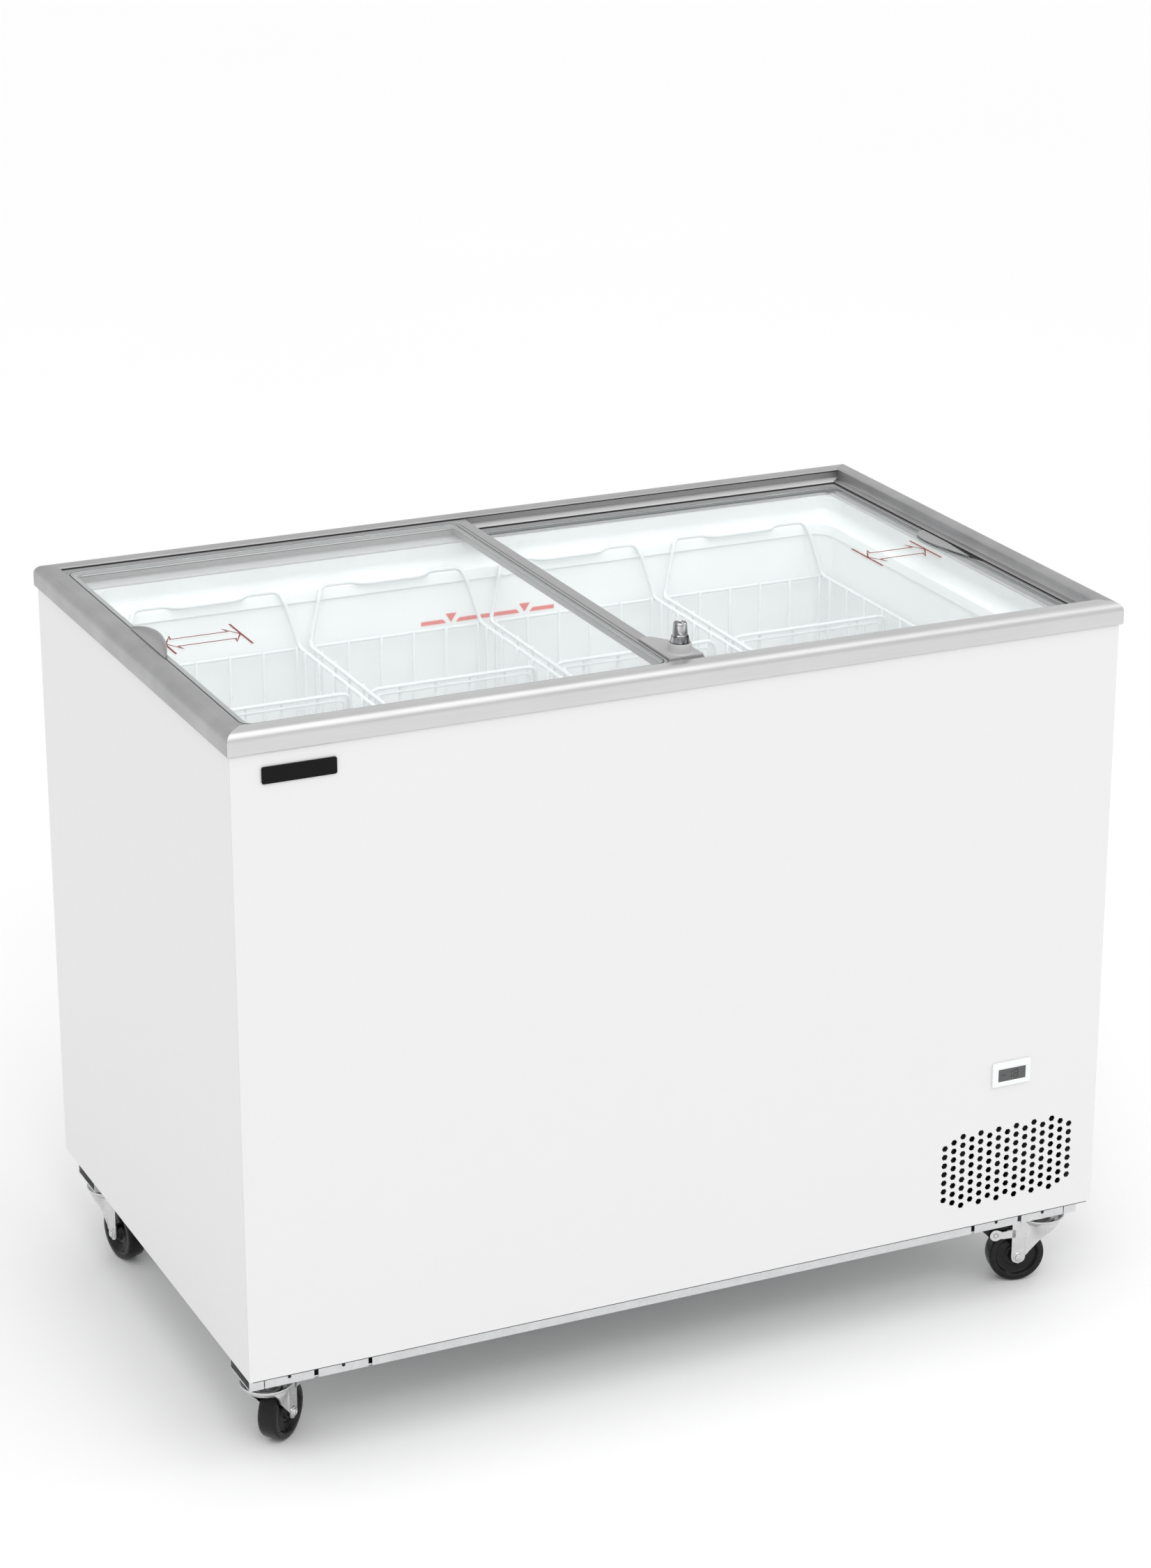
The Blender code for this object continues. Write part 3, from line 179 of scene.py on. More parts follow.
def sheet_metal(name, colour, roughness, spangle):
    """Zinc coat with faceted crystals and small handling marks."""
    look = Look(name, colour, roughness, 1.0)
    place = look.node("ShaderNodeTexCoord")
    cells = look.node("ShaderNodeTexVoronoi", Scale=spangle)
    look.link(place.outputs["Object"], cells.inputs["Vector"])
    grey = look.node("ShaderNodeSeparateColor")
    look.link(cells.outputs["Color"], grey.inputs["Color"])
    look.mottle(grey.outputs["Red"], 0.018).mottle(look.noise(60), 0.035)
    look.gloss(grey.outputs["Green"], 0.03)
    return look.bump(look.noise(350), 0.00005)


LOOKS = {
    "paint": powder_coat("white_powder_coat", (0.77, 0.77, 0.77)),
    "paint_side": powder_coat("white_powder_coat_side", (0.77, 0.77, 0.77)),
    # Painted light and shade: the rails are one brushed aluminium given three brightnesses for how light
    # falls on them, lightest on the front rail, darker on the rear rail and darkest on the side rails.
    "rail_front_painted_light": brushed("brushed_aluminium_front", (0.66, 0.66, 0.665), 0.34, 0, 0.02),
    "rail_rear_painted_shade": brushed("brushed_aluminium_rear", (0.50, 0.50, 0.505), 0.38, 0, 0.05),
    "rail_sides_painted_shade": brushed("brushed_aluminium_sides", (0.44, 0.44, 0.445), 0.40, 1, 0.10),
    "grey": moulded("grey_moulding", (0.33, 0.33, 0.335)),
    "grey_light": moulded("light_grey_moulding", (0.50, 0.50, 0.50)),
    "socket": moulded("lock_socket_moulding", (0.40, 0.40, 0.405)),
    "track": moulded("track_lining", (0.60, 0.60, 0.605), 0.45, 0.00003),
    "liner": moulded("white_liner", (0.94, 0.955, 0.955), 0.38, 0.00002),
    "coat": moulded("white_dip_coat", (0.79, 0.805, 0.82), 0.30, 0.00003),
    "white": moulded("white_moulding", (0.86, 0.87, 0.87), 0.35, 0.00002),
    "black": moulded("black_moulding", (0.008, 0.008, 0.008), 0.32, 0.00005, 0.3),
    "wheel": moulded("black_wheel", (0.007, 0.007, 0.007), 0.27, 0.00006, 0.28),
    # One near-black for the real seal round the lid glass, and for dark strips, sheets and blocks that paint
    # shadow in gaps, slots and under lips.
    "seal_and_painted_shadow": moulded("dark_seal", (0.018, 0.018, 0.018), 0.60, 0.00004),
    "zinc": sheet_metal("bright_zinc", (0.66, 0.66, 0.66), 0.30, 420),
    "galvanised": sheet_metal("galvanised_sheet", (0.68, 0.69, 0.695), 0.40, 260),
    "copper": brushed("copper_tube", (0.60, 0.34, 0.22), 0.35, 0, 0.05),
    "foam": moulded("foam", (0.75, 0.66, 0.42), 0.95, 0.0006),
    "enamel": moulded("black_enamel", (0.015, 0.015, 0.015), 0.30, 0.00004),
    "fins": brushed("condenser_fins", (0.035, 0.035, 0.036), 0.50, 2, 0.05),
    "red_line": moulded("red_print", (0.78, 0.028, 0.009), 0.60, 0.00001),
    "brown_line": moulded("brown_print", (0.25, 0.026, 0.010), 0.40, 0.00001),
    "digit": moulded("display_digit", (0.020, 0.022, 0.022), 0.30, 0.00001),
}
# Painted reflections: the chrome's base colour is streaked between dark and light bands, fixed on the part,
# standing in for reflections of darker surroundings.
chrome = Look("chrome", (0.36, 0.36, 0.37), 0.12, 1.0)
LOOKS["chrome"] = chrome.mottle(chrome.noise(260, (1, 1, 0.03), 1.0), 0.9).gloss(chrome.noise(160), 0.03)
display = Look("display_window", (0.065, 0.072, 0.072), 0.16, Coat_Weight=0.5, Coat_Roughness=0.05)
LOOKS["display"] = display.mottle(display.noise(40), 0.03)
badge = Look("black_gloss_plate", (0.004, 0.004, 0.004), 0.24, 0.0, Specular_IOR_Level=0.14)
LOOKS["badge"] = badge.gloss(badge.noise(60), 0.05).bump(badge.noise(300), 0.00002)
glass = Look("lid_glass", (0.965, 0.995, 0.990), 0.01, 0.0, Transmission_Weight=1.0, IOR=1.45)
LOOKS["glass"] = glass.gloss(glass.noise(3), 0.004)


# ---- shape helpers
def add_object(name, data):
    made = bpy.data.objects.new(name, data)
    bpy.context.scene.collection.objects.link(made)
    return made


def finish_mesh(name, bm, look, body, replaces=(), sharp=32, bevel=0.0, segments=2, second=None):
    """Turns a bmesh into a piece that rides on a body. Faces with material index 1 take the second look."""
    bmesh.ops.remove_doubles(bm, verts=bm.verts, dist=1e-6)
    bmesh.ops.recalc_face_normals(bm, faces=bm.faces)
    mesh = bpy.data.meshes.new(name)
    bm.to_mesh(mesh)
    bm.free()
    mesh.materials.append(LOOKS[look].material)
    if second:
        mesh.materials.append(LOOKS[second].material)
    mesh.shade_smooth()
    mesh.set_sharp_from_angle(angle=math.radians(sharp))
    piece = add_object(name, mesh)
    if bevel:
        round_edges = piece.modifiers.new("round_edges", "BEVEL")
        round_edges.width = bevel
        round_edges.segments = segments
        round_edges.limit_method = "ANGLE"
        round_edges.angle_limit = math.radians(sharp)
        round_edges.harden_normals = True
    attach(piece, body)
    if replaces:
        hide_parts(*replaces)
    return piece


def dress(look, *names):
    """Gives a CAD node its finish."""
    for name in names:
        node = nodes[name]
        node.data.materials.clear()
        node.data.materials.append(LOOKS[look].material)


def loft(bm, rings, closed=False):
    rows = [[bm.verts.new(point) for point in ring] for ring in rings]
    pairs = list(zip(rows, rows[1:]))
    if closed:
        pairs.append((rows[-1], rows[0]))
    for first, second in pairs:
        for i in range(len(first)):
            j = (i + 1) % len(first)
            bm.faces.new((first[i], first[j], second[j], second[i]))
    if not closed:
        bm.faces.new(rows[0])
        bm.faces.new(rows[-1])
    return bm


def rounded(low, high, radius, steps=6):
    (x0, y0), (x1, y1) = low, high
    points = []
    for cx, cy, start in (
        (x1 - radius, y1 - radius, 0),
        (x0 + radius, y1 - radius, 90),
        (x0 + radius, y0 + radius, 180),
        (x1 - radius, y0 + radius, 270),
    ):
        for i in range(steps + 1):
            angle = math.radians(start + 90 * i / steps)
            points.append((cx + radius * math.cos(angle), cy + radius * math.sin(angle)))
    return points


def circle(cx, cy, radius, count, start=0.0):
    angles = [start + math.tau * i / count for i in range(count)]
    return [(cx + radius * math.cos(angle), cy + radius * math.sin(angle)) for angle in angles]


def grown(box, by):
    low, high = box
    return (low[0] - by, low[1] - by), (high[0] + by, high[1] + by)


def rectangle(low, high):
    return [(low[0], low[1]), (high[0], low[1]), (high[0], high[1]), (low[0], high[1])]


def block(bm, low, high):
    return loft(bm, [[(x, y, z) for x, y in rectangle(low, high)] for z in (low[2], high[2])])


def plate(bm, outline, low, high, holes=(), place=Matrix()):
    """A plate between two heights. A hole is a polygon, or a list of (polygon, height) from low to high."""
    stepped = []
    for hole in holes:
        straight = not isinstance(hole[0][0], (list, tuple))
        stepped.append([(hole, low), (hole, high)] if straight else hole)

    def vertices(points, height):
        return [bm.verts.new(place @ Vector((u, v, height))) for u, v in points]

    walls = [[vertices(outline, low), vertices(outline, high)]]
    walls += [[vertices(points, height) for points, height in hole] for hole in stepped]
    for end, height, polygons in (
        (0, low, [outline] + [hole[0][0] for hole in stepped]),
        (-1, high, [outline] + [hole[-1][0] for hole in stepped]),
    ):
        corners = [vert for wall in walls for vert in wall[end]]
        loops = [[Vector((u, v, height)) for u, v in polygon] for polygon in polygons]
        for triangle in tessellate_polygon(loops):
            bm.faces.new([corners[i] for i in triangle])
    for wall in walls:
        for first, second in zip(wall, wall[1:]):
            for i in range(len(first)):
                j = (i + 1) % len(first)
                bm.faces.new((first[i], first[j], second[j], second[i]))
    return bm


def turned(bm, profile, count, place, closed=False):
    """Turns (radius, height) points about Z. A radius of 0 becomes a single point."""
    rows = []
    for radius, height in profile:
        if radius == 0:
            rows.append([bm.verts.new(place @ Vector((0, 0, height)))])
        else:
            ring = [Vector((x, y, height)) for x, y in circle(0, 0, radius, count)]
            rows.append([bm.verts.new(place @ point) for point in ring])
    pairs = list(zip(rows, rows[1:]))
    if closed:
        pairs.append((rows[-1], rows[0]))
    for first, second in pairs:
        for i in range(count):
            j = (i + 1) % count
            face = [row[k % len(row)] for row, k in ((first, i), (first, j), (second, j), (second, i))]
            bm.faces.new(list(dict.fromkeys(face)))
    return bm


def ring_about(centre, side, other, radius, count):
    """Points round a centre, in the plane of two unit vectors."""
    angles = [math.tau * k / count for k in range(count)]
    return [centre + radius * (math.cos(angle) * side + math.sin(angle) * other) for angle in angles]


def tube(bm, path, radius, sides=10, closed=False):
    """A wire along a path, with rings square to it and domed ends."""
    path = [Vector(point) for point in path]
    count, dome_length, dome_radius = len(path), radius * 0.6, radius * 0.55
    side, rings = None, []
    for i, point in enumerate(path):
        before = path[i - 1] if closed or i else point
        after = path[(i + 1) % count] if closed or i < count - 1 else point
        along = (after - before).normalized()
        if side is None:
            side = along.orthogonal().normalized()
        side = (side - along * side.dot(along)).normalized()
        other = along.cross(side)
        if not closed and i == 0:
            rings.append(ring_about(point - along * dome_length, side, other, dome_radius, sides))
        rings.append(ring_about(point, side, other, radius, sides))
        if not closed and i == count - 1:
            rings.append(ring_about(point + along * dome_length, side, other, dome_radius, sides))
    return loft(bm, rings, closed)


def fillet(path, radius, steps=4, closed=False):
    """Rounds the corners of a polyline."""
    path = [Vector(point) for point in path]
    count, result = len(path), []
    for i, point in enumerate(path):
        if not closed and i in (0, count - 1):
            result.append(point)
            continue
        back, ahead = path[i - 1] - point, path[(i + 1) % count] - point
        reach = min(radius, back.length * 0.45, ahead.length * 0.45)
        start, end = point + back.normalized() * reach, point + ahead.normalized() * reach
        for k in range(steps + 1):
            t = k / steps
            result.append(start * (1 - t) ** 2 + point * 2 * t * (1 - t) + end * t**2)
    return result


# A flat outline stands up with its thickness along Y, and a turned profile lies with its axis along Y.
UPRIGHT = Matrix(((1, 0, 0, 0), (0, 0, 1, 0), (0, 1, 0, 0), (0, 0, 0, 1)))
SIDEWAYS = Matrix.Rotation(math.radians(90), 4, "X")


# ---- camera, light, floor
def add_light(name, kind, energy, place=(0, 0, 0), away=None):
    """Adds a lamp that shines against the direction away, or straight down."""
    light = bpy.data.lights.new(name, kind)
    light.energy = energy
    lamp = add_object(name, light)
    lamp.location = place
    if away:
        lamp.rotation_euler = away.to_track_quat("Z", "Y").to_euler()
    return lamp


def make_camera():
    camera = add_object("camera", bpy.data.cameras.new("camera"))
    camera.data.sensor_width = 36
    camera.data.lens = 88.6
    camera.data.clip_end = 100
    look_down, heading = 20.15, -24.78
    camera.location = (-1.7069, -3.7113, 2.0955)
    camera.rotation_euler = (math.radians(90 - look_down), 0, math.radians(heading))
    bpy.context.scene.camera = camera


def make_floor():
    floor_size, below = 60, 0.0005
    bpy.ops.mesh.primitive_plane_add(size=floor_size, location=(0, 0, -below))
    floor = bpy.context.object
    floor.name = "floor"
    look = Look("studio_floor", (0.93, 0.93, 0.93), 0.8, Specular_IOR_Level=0.1)
    look.mottle(look.noise(0.6), 0.004)
    floor.data.materials.append(look.material)


def make_lights():
    """White surroundings, a broad sun, two soft lamps at the front, and a fill inside the tub."""
    world = bpy.data.worlds.new("studio")
    bpy.context.scene.world = world
    world.use_nodes = True
    background = world.node_tree.nodes["Background"]
    background.inputs["Color"].default_value = (1.0, 1.0, 1.0, 1.0)
    background.inputs["Strength"].default_value = 0.80

    sun = add_light("overhead", "SUN", 0.95, away=Vector((-0.10, -0.52, 1.0)))
    sun.data.angle = math.radians(70)
    target = Vector((0, 0, 0.6))
    for name, place, energy in (("key", (-1.2, -3.2, 3.4), 14), ("side", (3.0, -1.2, 2.4), 6)):
        lamp = add_light(name, "AREA", energy, place, Vector(place) - target)
        lamp.data.size = 0.8
    fill = add_light("tub_fill", "AREA", 0.72, at(WIDTH / 2, DEPTH / 2, -0.014))
    fill.data.shape = "RECTANGLE"
    fill.data.size, fill.data.size_y = 0.92, 0.52
    fill.visible_camera = fill.visible_glossy = False
    bpy.context.scene.view_settings.view_transform = "Standard"


# ---- top frame, tub
def frame_corner(u, v, inset, height, gap=(0.0, 0.0)):
    """A corner of the top frame at an inset from the cabinet's faces, where u and v are 0 or 1."""
    x, y = inset + gap[0], inset + gap[1]
    return at(x + u * (WIDTH - 2 * x), y + v * (DEPTH - 2 * y), height)


def make_rails():
    """Aluminium rails with a smooth nose. The right one has no undercut: the upper lid only stops there."""
    low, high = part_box("rail_front")
    over, top, inner = Y0 - low.y, high.z - TOP, high.y - Y0
    nose, nose_steps, joint = 0.011, 12, 0.0001
    outside = [(-over, 0.0018)]
    for i in range(nose_steps + 1):
        angle = math.radians(180 - 90 * i / nose_steps)
        outside.append((nose - over + nose * math.cos(angle), top - nose + nose * math.sin(angle)))
    outside += [(0.0170, top), (0.0190, top - 0.0004), (0.0203, top - 0.0014), (0.0205, top - 0.0022)]
    undercut = [(0.0203, 0.0234), (0.0095, 0.0234), (0.0095, 0.0140)]
    plain = [(0.0206, 0.0225), (0.0222, 0.0150), (0.0230, 0.0140)]
    lower = [
        (0.0305, 0.0140), (0.0317, 0.0136), (0.0320, 0.0128), (0.0320, 0.0114), (0.0210, 0.0114),
        (0.0210, 0.0030), (inner - 0.0012, 0.0030), (inner - 0.0003, 0.0026), (inner, 0.0018),
        (inner, 0.00025), (-over + 0.0016, 0.00025),
    ]  # fmt: skip
    for name, look, track, unlined, corners, gap in (
        ("rail_front", "rail_front_painted_light", undercut, 0, ((0, 0), (1, 0)), (joint, 0.0)),
        ("rail_rear", "rail_rear_painted_shade", undercut, 0, ((0, 1), (1, 1)), (joint, 0.0)),
        ("rail_left", "rail_sides_painted_shade", undercut, 0, ((0, 0), (0, 1)), (0.0, joint)),
        ("rail_right", "rail_sides_painted_shade", plain, 5, ((1, 0), (1, 1)), (0.0, joint)),
    ):
        section = outside + track + lower
        rings = [[frame_corner(u, v, inset, height, gap) for inset, height in section] for u, v in corners]
        bm = loft(bmesh.new(), rings)
        bm.faces.ensure_lookup_table()
        for face in bm.faces[len(outside) + unlined : len(section) - 1]:
            face.material_index = 1
        finish_mesh(name + "_skin", bm, look, "cabinet", [name], bevel=0.00018, second="track")


def make_painted_shadow_strips():
    """Dark strips that paint the shadow under the rails' lip and round the edge of the lower lid's track."""
    corners = ((1, 0), (0, 0), (0, 1), (1, 1))
    for name, closed, low, high in (
        ("rail_lip_seal", False, (0.0182, 0.0223), (0.0202, 0.0233)),
        ("track_edge_seal", True, (0.0317, 0.0115), (0.0322, 0.0128)),
    ):
        section = rectangle(low, high)
        rings = [[frame_corner(u, v, inset, height) for inset, height in section] for u, v in corners]
        finish_mesh(name, loft(bmesh.new(), rings, closed), "seal_and_painted_shadow", "cabinet")


def corner_ring(inset, height, centre):
    """Rounded rectangle at an inset from the cabinet's faces, round the same corner centres."""
    low, high = (X0 + inset, Y0 + inset), (X0 + WIDTH - inset, Y0 + DEPTH - inset)
    return [Vector((x, y, TOP + height)) for x, y in rounded(low, high, centre - inset, 10)]


def squared(ring, low, high):
    """Moves each point of a level ring to the nearest corner of a rectangle."""
    middle = (low + high) / 2
    return [
        Vector((high.x if point.x > middle.x else low.x, high.y if point.y > middle.y else low.y, point.z))
        for point in ring
    ]


def make_collar():
    """White band between the rails and the tub, with a lower edge line."""
    under_rails, tub_corner = 0.01, 0.032
    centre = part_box("inner_liner")[0].x - X0 + tub_corner
    section = [
        (0.0025, -0.0003), (0.0444, -0.0003), (0.0450, -0.0008), (0.0478, -0.0302), (0.0482, -0.0305),
        (0.0564, -0.0305), (0.0570, -0.0309), (0.0571, -0.0315), (0.0571, -0.0435), (0.0567, -0.0440),
        (0.0546, -0.0440), (0.0546, -0.0330), (0.0460, -0.0330), (0.0435, -0.0028), (0.0025, -0.0028),
    ]  # fmt: skip
    rows = []
    for inset, height in section:
        ring = corner_ring(inset, height, centre)
        if inset < under_rails:
            ring = squared(ring, at(inset, inset, height), at(WIDTH - inset, DEPTH - inset, height))
        rows.append(ring)
    bm = loft(bmesh.new(), rows, closed=True)
    bmesh.ops.dissolve_degenerate(bm, dist=1e-6, edges=bm.edges)
    finish_mesh("collar_skin", bm, "liner", "cabinet", ["liner_collar"], sharp=28)


# ---- lids
def flat(x, y):
    return tuple(at(x, y, 0).xy)


def inside(box, left, right, ends):
    (x0, y0), (x1, y1) = box
    return (x0 + left, y0 + ends), (x1 - right, y1 - ends)


def make_lid(name, outline, band, flange, base, extra_holes=()):
    """Lid frame with a groove round its glass, as one moulding, and the dark seal at the glass."""
    low = TOP + base
    step, high, radius = low + 0.0026, low + 0.0072, 0.012
    opening = [
        (rounded(*flange, radius), low),
        (rounded(*flange, radius), step),
        (rounded(*band, radius), step),
        (rounded(*band, radius), high - 0.0005),
    ]
    groove = [
        (0.0006, 0.0003), (0.0034, 0.0002), (0.0036, 0.0016),
        (0.0044, 0.0016), (0.0048, 0.0001), (0.0054, 0.0),
    ]  # fmt: skip
    for outward, drop in groove:
        opening.append((rounded(*grown(band, outward), radius + outward), high - drop))
    bm = plate(bmesh.new(), outline, low, high, [opening, *extra_holes])
    finish_mesh(name + "_frame_skin", bm, "grey", name, [name + "_frame"], bevel=0.0003)
    seal_top, seal_thickness = high - 0.00028, 0.0004
    outer = rounded(*grown(band, -0.00005), radius)
    inner = rounded(*grown(band, -0.0010), radius - 0.0010)
    bm = plate(bmesh.new(), outer, seal_top - seal_thickness, seal_top, [inner])
    finish_mesh(name + "_seal", bm, "seal_and_painted_shadow", name)


def make_lids():
    """The upper lid has a tab for the lock. The lower lid's left bar is slim, so the upper one hides it."""
    glass_gap, middle_bar, bore_radius = 0.0003, 0.0178, 0.0092
    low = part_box("upper_lid_frame")[0]
    glass_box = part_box("upper_lid_glass")
    edge, rear = low.y - Y0, DEPTH - (low.y - Y0)
    right = glass_box[1].x - X0 + middle_bar
    tab = [
        (right, 0.1060), (right + 0.0035, 0.1035), (0.5260, 0.0905), (0.5335, 0.0815), (0.5380, 0.0745),
        (0.5400, 0.0680), (0.5410, 0.0340), (0.5400, 0.0325), (right, 0.0320),
    ]  # fmt: skip
    corners = [(edge, edge), (right, edge), *reversed(tab), (right, rear), (edge, rear)]
    outline = [flat(x, y) for x, y in corners]
    band = grown(glass_box, glass_gap)
    lock_low, lock_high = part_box("lock_sleeve")
    lock = (lock_low + lock_high) / 2
    bore = circle(lock.x, lock.y, bore_radius, 24)
    make_lid("upper_lid", outline, band, inside(band, 0.0080, 0.0035, 0.0025), low.z - TOP, [bore])

    low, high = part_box("lower_lid_frame")
    slimmer, corner_radius = Vector((0.0075, 0.0)), 0.0015
    outline = rounded(low.xy + slimmer, high.xy, corner_radius, 3)
    band = grown(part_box("lower_lid_glass"), glass_gap)
    make_lid("lower_lid", outline, band, inside(band, 0.0075, 0.0075, 0.0020), low.z - TOP)
    for name in ("upper_lid_glass", "lower_lid_glass"):
        dress("glass", name)
        nodes[name].visible_shadow = False


def make_raised_grip():
    """Crescent cup on the upper lid, with a rolled rim."""
    low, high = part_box("upper_lid_grip")
    place = Matrix.Translation((low.x, (low.y + high.y) / 2, low.z))
    width, length, height = high.x - low.x, high.y - low.y, high.z - low.z
    end_height, steps = 0.0012, 28
    rings = []
    for i in range(steps + 1):
        t = -1 + 2 * i / steps
        y = t * length / 2
        swell = max(0.0, 1 - t * t)
        bulge = width * swell**0.9
        crest = end_height + (height - end_height) * swell**0.8
        ring = [
            (0.0, y, 0.0),
            (bulge, y, 0.0),
            (bulge, y, crest * 0.55),
            (bulge - 0.0004 * swell, y, crest * 0.85),
            (bulge - 0.0012 * swell, y, crest),
            (bulge - 0.0026 * swell, y, crest),
            (bulge - 0.0036 * swell, y, crest * 0.86),
            (bulge - 0.0050 * swell, y, crest * 0.50),
            (bulge * 0.40, y, 0.0016 * swell + 0.0006),
            (0.0, y, 0.0008),
        ]
        rings.append([place @ Vector(point) for point in ring])
    bm = loft(bmesh.new(), rings)
    finish_mesh("raised_grip", bm, "grey", "upper_lid", ["upper_lid_grip"], sharp=60)


def make_flush_grip():
    """Leaf-shaped grip on the lower lid, blunt at the rear, with a dark sheet beside its tip that paints the
    shadow of the finger gap.
    """
    low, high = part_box("lower_lid_grip")
    turn = Matrix.Rotation(math.pi, 4, "Z")
    place = Matrix.Translation((high.x, (low.y + high.y) / 2, low.z)) @ turn
    width, length, recess, steps = high.x - low.x, high.y - low.y, 0.0045, 32
    outline = [(0, 0)]
    for i in range(steps + 1):
        t = i / steps
        start = recess * max(0.0, 2 * t - 1)
        swell = abs(math.sin(math.pi * t**0.6)) ** 0.8
        outline.append((start + (width - start) * swell, (t - 0.5) * length))
    bm = plate(bmesh.new(), outline, 0.0, high.z - low.z, place=place)
    finish_mesh("flush_grip", bm, "grey", "lower_lid", ["lower_lid_grip"], bevel=0.0004)
    # Painted shadow: a dark sheet just under the lid's face in the finger gap beside the grip's tip.
    gap = [(-0.0012, -0.0020), (0.0, 0.0), (recess, length / 2), (-0.0012, length * 0.68)]
    bm = plate(bmesh.new(), gap, -0.00022, -0.00004, place=place)
    finish_mesh("grip_gap", bm, "seal_and_painted_shadow", "lower_lid")


def make_lock():
    """Push lock: moulded foot and socket, chrome ring, pop-out cylinder and key plug with its slot."""
    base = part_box("lock_housing")[0].z
    sleeve_low, sleeve_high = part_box("lock_sleeve")
    centre = (sleeve_low + sleeve_high) / 2
    place = Matrix.Translation((centre.x, centre.y, base))
    foot = [
        (0.5000, 0.110), (0.5130, 0.110), (0.5175, 0.1050), (0.5270, 0.0915), (0.5335, 0.0815),
        (0.5375, 0.0745), (0.5392, 0.0680), (0.5400, 0.0345), (0.5390, 0.0332), (0.5000, 0.0332),
    ]  # fmt: skip
    outline = [flat(x, y) for x, y in reversed(foot)]
    foot_height, bore_radius = 0.0022, 0.0107
    bore = circle(centre.x, centre.y, bore_radius, 48)
    bm = plate(bmesh.new(), outline, base, base + foot_height, [bore])
    housing = ["lock_housing"]
    finish_mesh("lock_foot", bm, "socket", "upper_lid", housing, bevel=0.0007, segments=3)
    profile = [
        (0.0104, 0.0021), (0.0146, 0.0021), (0.0136, 0.0029), (0.0131, 0.0044), (0.0127, 0.0080),
        (0.0123, 0.0124), (0.0118, 0.0132), (0.0110, 0.0132), (0.0104, 0.0128),
    ]  # fmt: skip
    bm = turned(bmesh.new(), profile, 48, place, closed=True)
    finish_mesh("lock_socket", bm, "grey_light", "upper_lid", sharp=40)
    profile = [
        (0.0088, 0.0004), (0.0101, 0.0004), (0.0101, 0.0138), (0.0102, 0.0142), (0.0102, 0.0158),
        (0.0098, 0.0164), (0.0095, 0.0196), (0.0092, 0.0202), (0.0088, 0.0202),
    ]  # fmt: skip
    bm = turned(bmesh.new(), profile, 56, place, closed=True)
    finish_mesh("lock_ring", bm, "chrome", "upper_lid", ["lock_sleeve"], sharp=40)
    profile = [
        (0, 0.0015), (0.0036, 0.0015), (0.0040, 0.0020), (0.0040, 0.0120), (0.0084, 0.0120), (0.0084, 0.0216),
        (0.0079, 0.0221), (0.0079, 0.0228), (0.0081, 0.0232), (0.0075, 0.0318), (0.0070, 0.0322),
        (0.0070, 0.0327), (0.0074, 0.0331), (0.0072, 0.0344), (0.0066, 0.0350), (0.0058, 0.0350),
        (0.0055, 0.0346), (0.0055, 0.0272), (0, 0.0272),
    ]  # fmt: skip
    bm = turned(bmesh.new(), profile, 56, place)
    finish_mesh("lock_cylinder", bm, "chrome", "lock_barrel", ["lock_barrel"], sharp=40)
    profile = [(0, 0.0273), (0.0051, 0.0273), (0.0051, 0.0340), (0.0047, 0.0344), (0, 0.0344)]
    bm = turned(bmesh.new(), profile, 40, place)
    finish_mesh("key_plug", bm, "chrome", "lock_key", ["lock_key_plug"], sharp=40)
    # Painted shade: a dark block stands in for the shade inside the key's slot.
    half_width, half_length = 0.0009, 0.0030
    low = (centre.x - half_width, centre.y - half_length, base + 0.0300)
    high = (centre.x + half_width, centre.y + half_length, base + 0.0346)
    finish_mesh("key_slot", block(bmesh.new(), low, high), "seal_and_painted_shadow", "lock_key", bevel=0.0003)


# ---- printed marks
def stroke(bm, points, width, z0, z1, closed=False):
    """Mitred ribbon along flat points, as a thin raised print."""
    points = [Vector(point) for point in points]
    count = len(points)
    left, right = [], []
    for i, point in enumerate(points):
        back = (point - points[i - 1]) if closed or i else (points[1] - point)
        ahead = (points[(i + 1) % count] - point) if closed or i < count - 1 else back
        back, ahead = back.normalized(), ahead.normalized()
        normal = Vector((-(back.y + ahead.y), back.x + ahead.x)).normalized()
        reach = width / 2 / max(0.35, normal.dot(Vector((-back.y, back.x))))
        left.append(point + normal * reach)
        right.append(point - normal * reach)
    rings = [[(*a, z0), (*b, z0), (*b, z1), (*a, z1)] for a, b in zip(left, right)]
    return loft(bm, rings, closed)


def make_stickers():
    """Outline double arrows between two bars, printed on each lid beside its grip."""
    y, bar_half, line, bar_line = 0.3080, 0.0365, 0.0021, 0.0026
    tip_gap, head, neck, wide, thin = 0.0010, 0.0115, 0.0095, 0.0225, 0.0128
    for name, start, end in (("upper_lid", 0.0405, 0.1260), ("lower_lid", 0.8860, 0.9625)):
        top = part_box(name + "_glass")[1].z
        z0, z1 = top + 0.00003, top + 0.00016
        middle, tip = (start + end) / 2, (end - start) / 2 - tip_gap
        upper = [(head - tip, wide), (neck - tip, thin), (tip - neck, thin), (tip - head, wide)]
        arrow = [(-tip, 0), *upper, (tip, 0), *((u, -v) for u, v in reversed(upper))]
        bm = bmesh.new()
        stroke(bm, [flat(middle + u, y + v) for u, v in reversed(arrow)], line, z0, z1, closed=True)
        for x in (start, end):
            stroke(bm, [flat(x, y - bar_half), flat(x, y + bar_half)], bar_line, z0, z1)
        finish_mesh(name + "_arrow_print", bm, "brown_line", name)


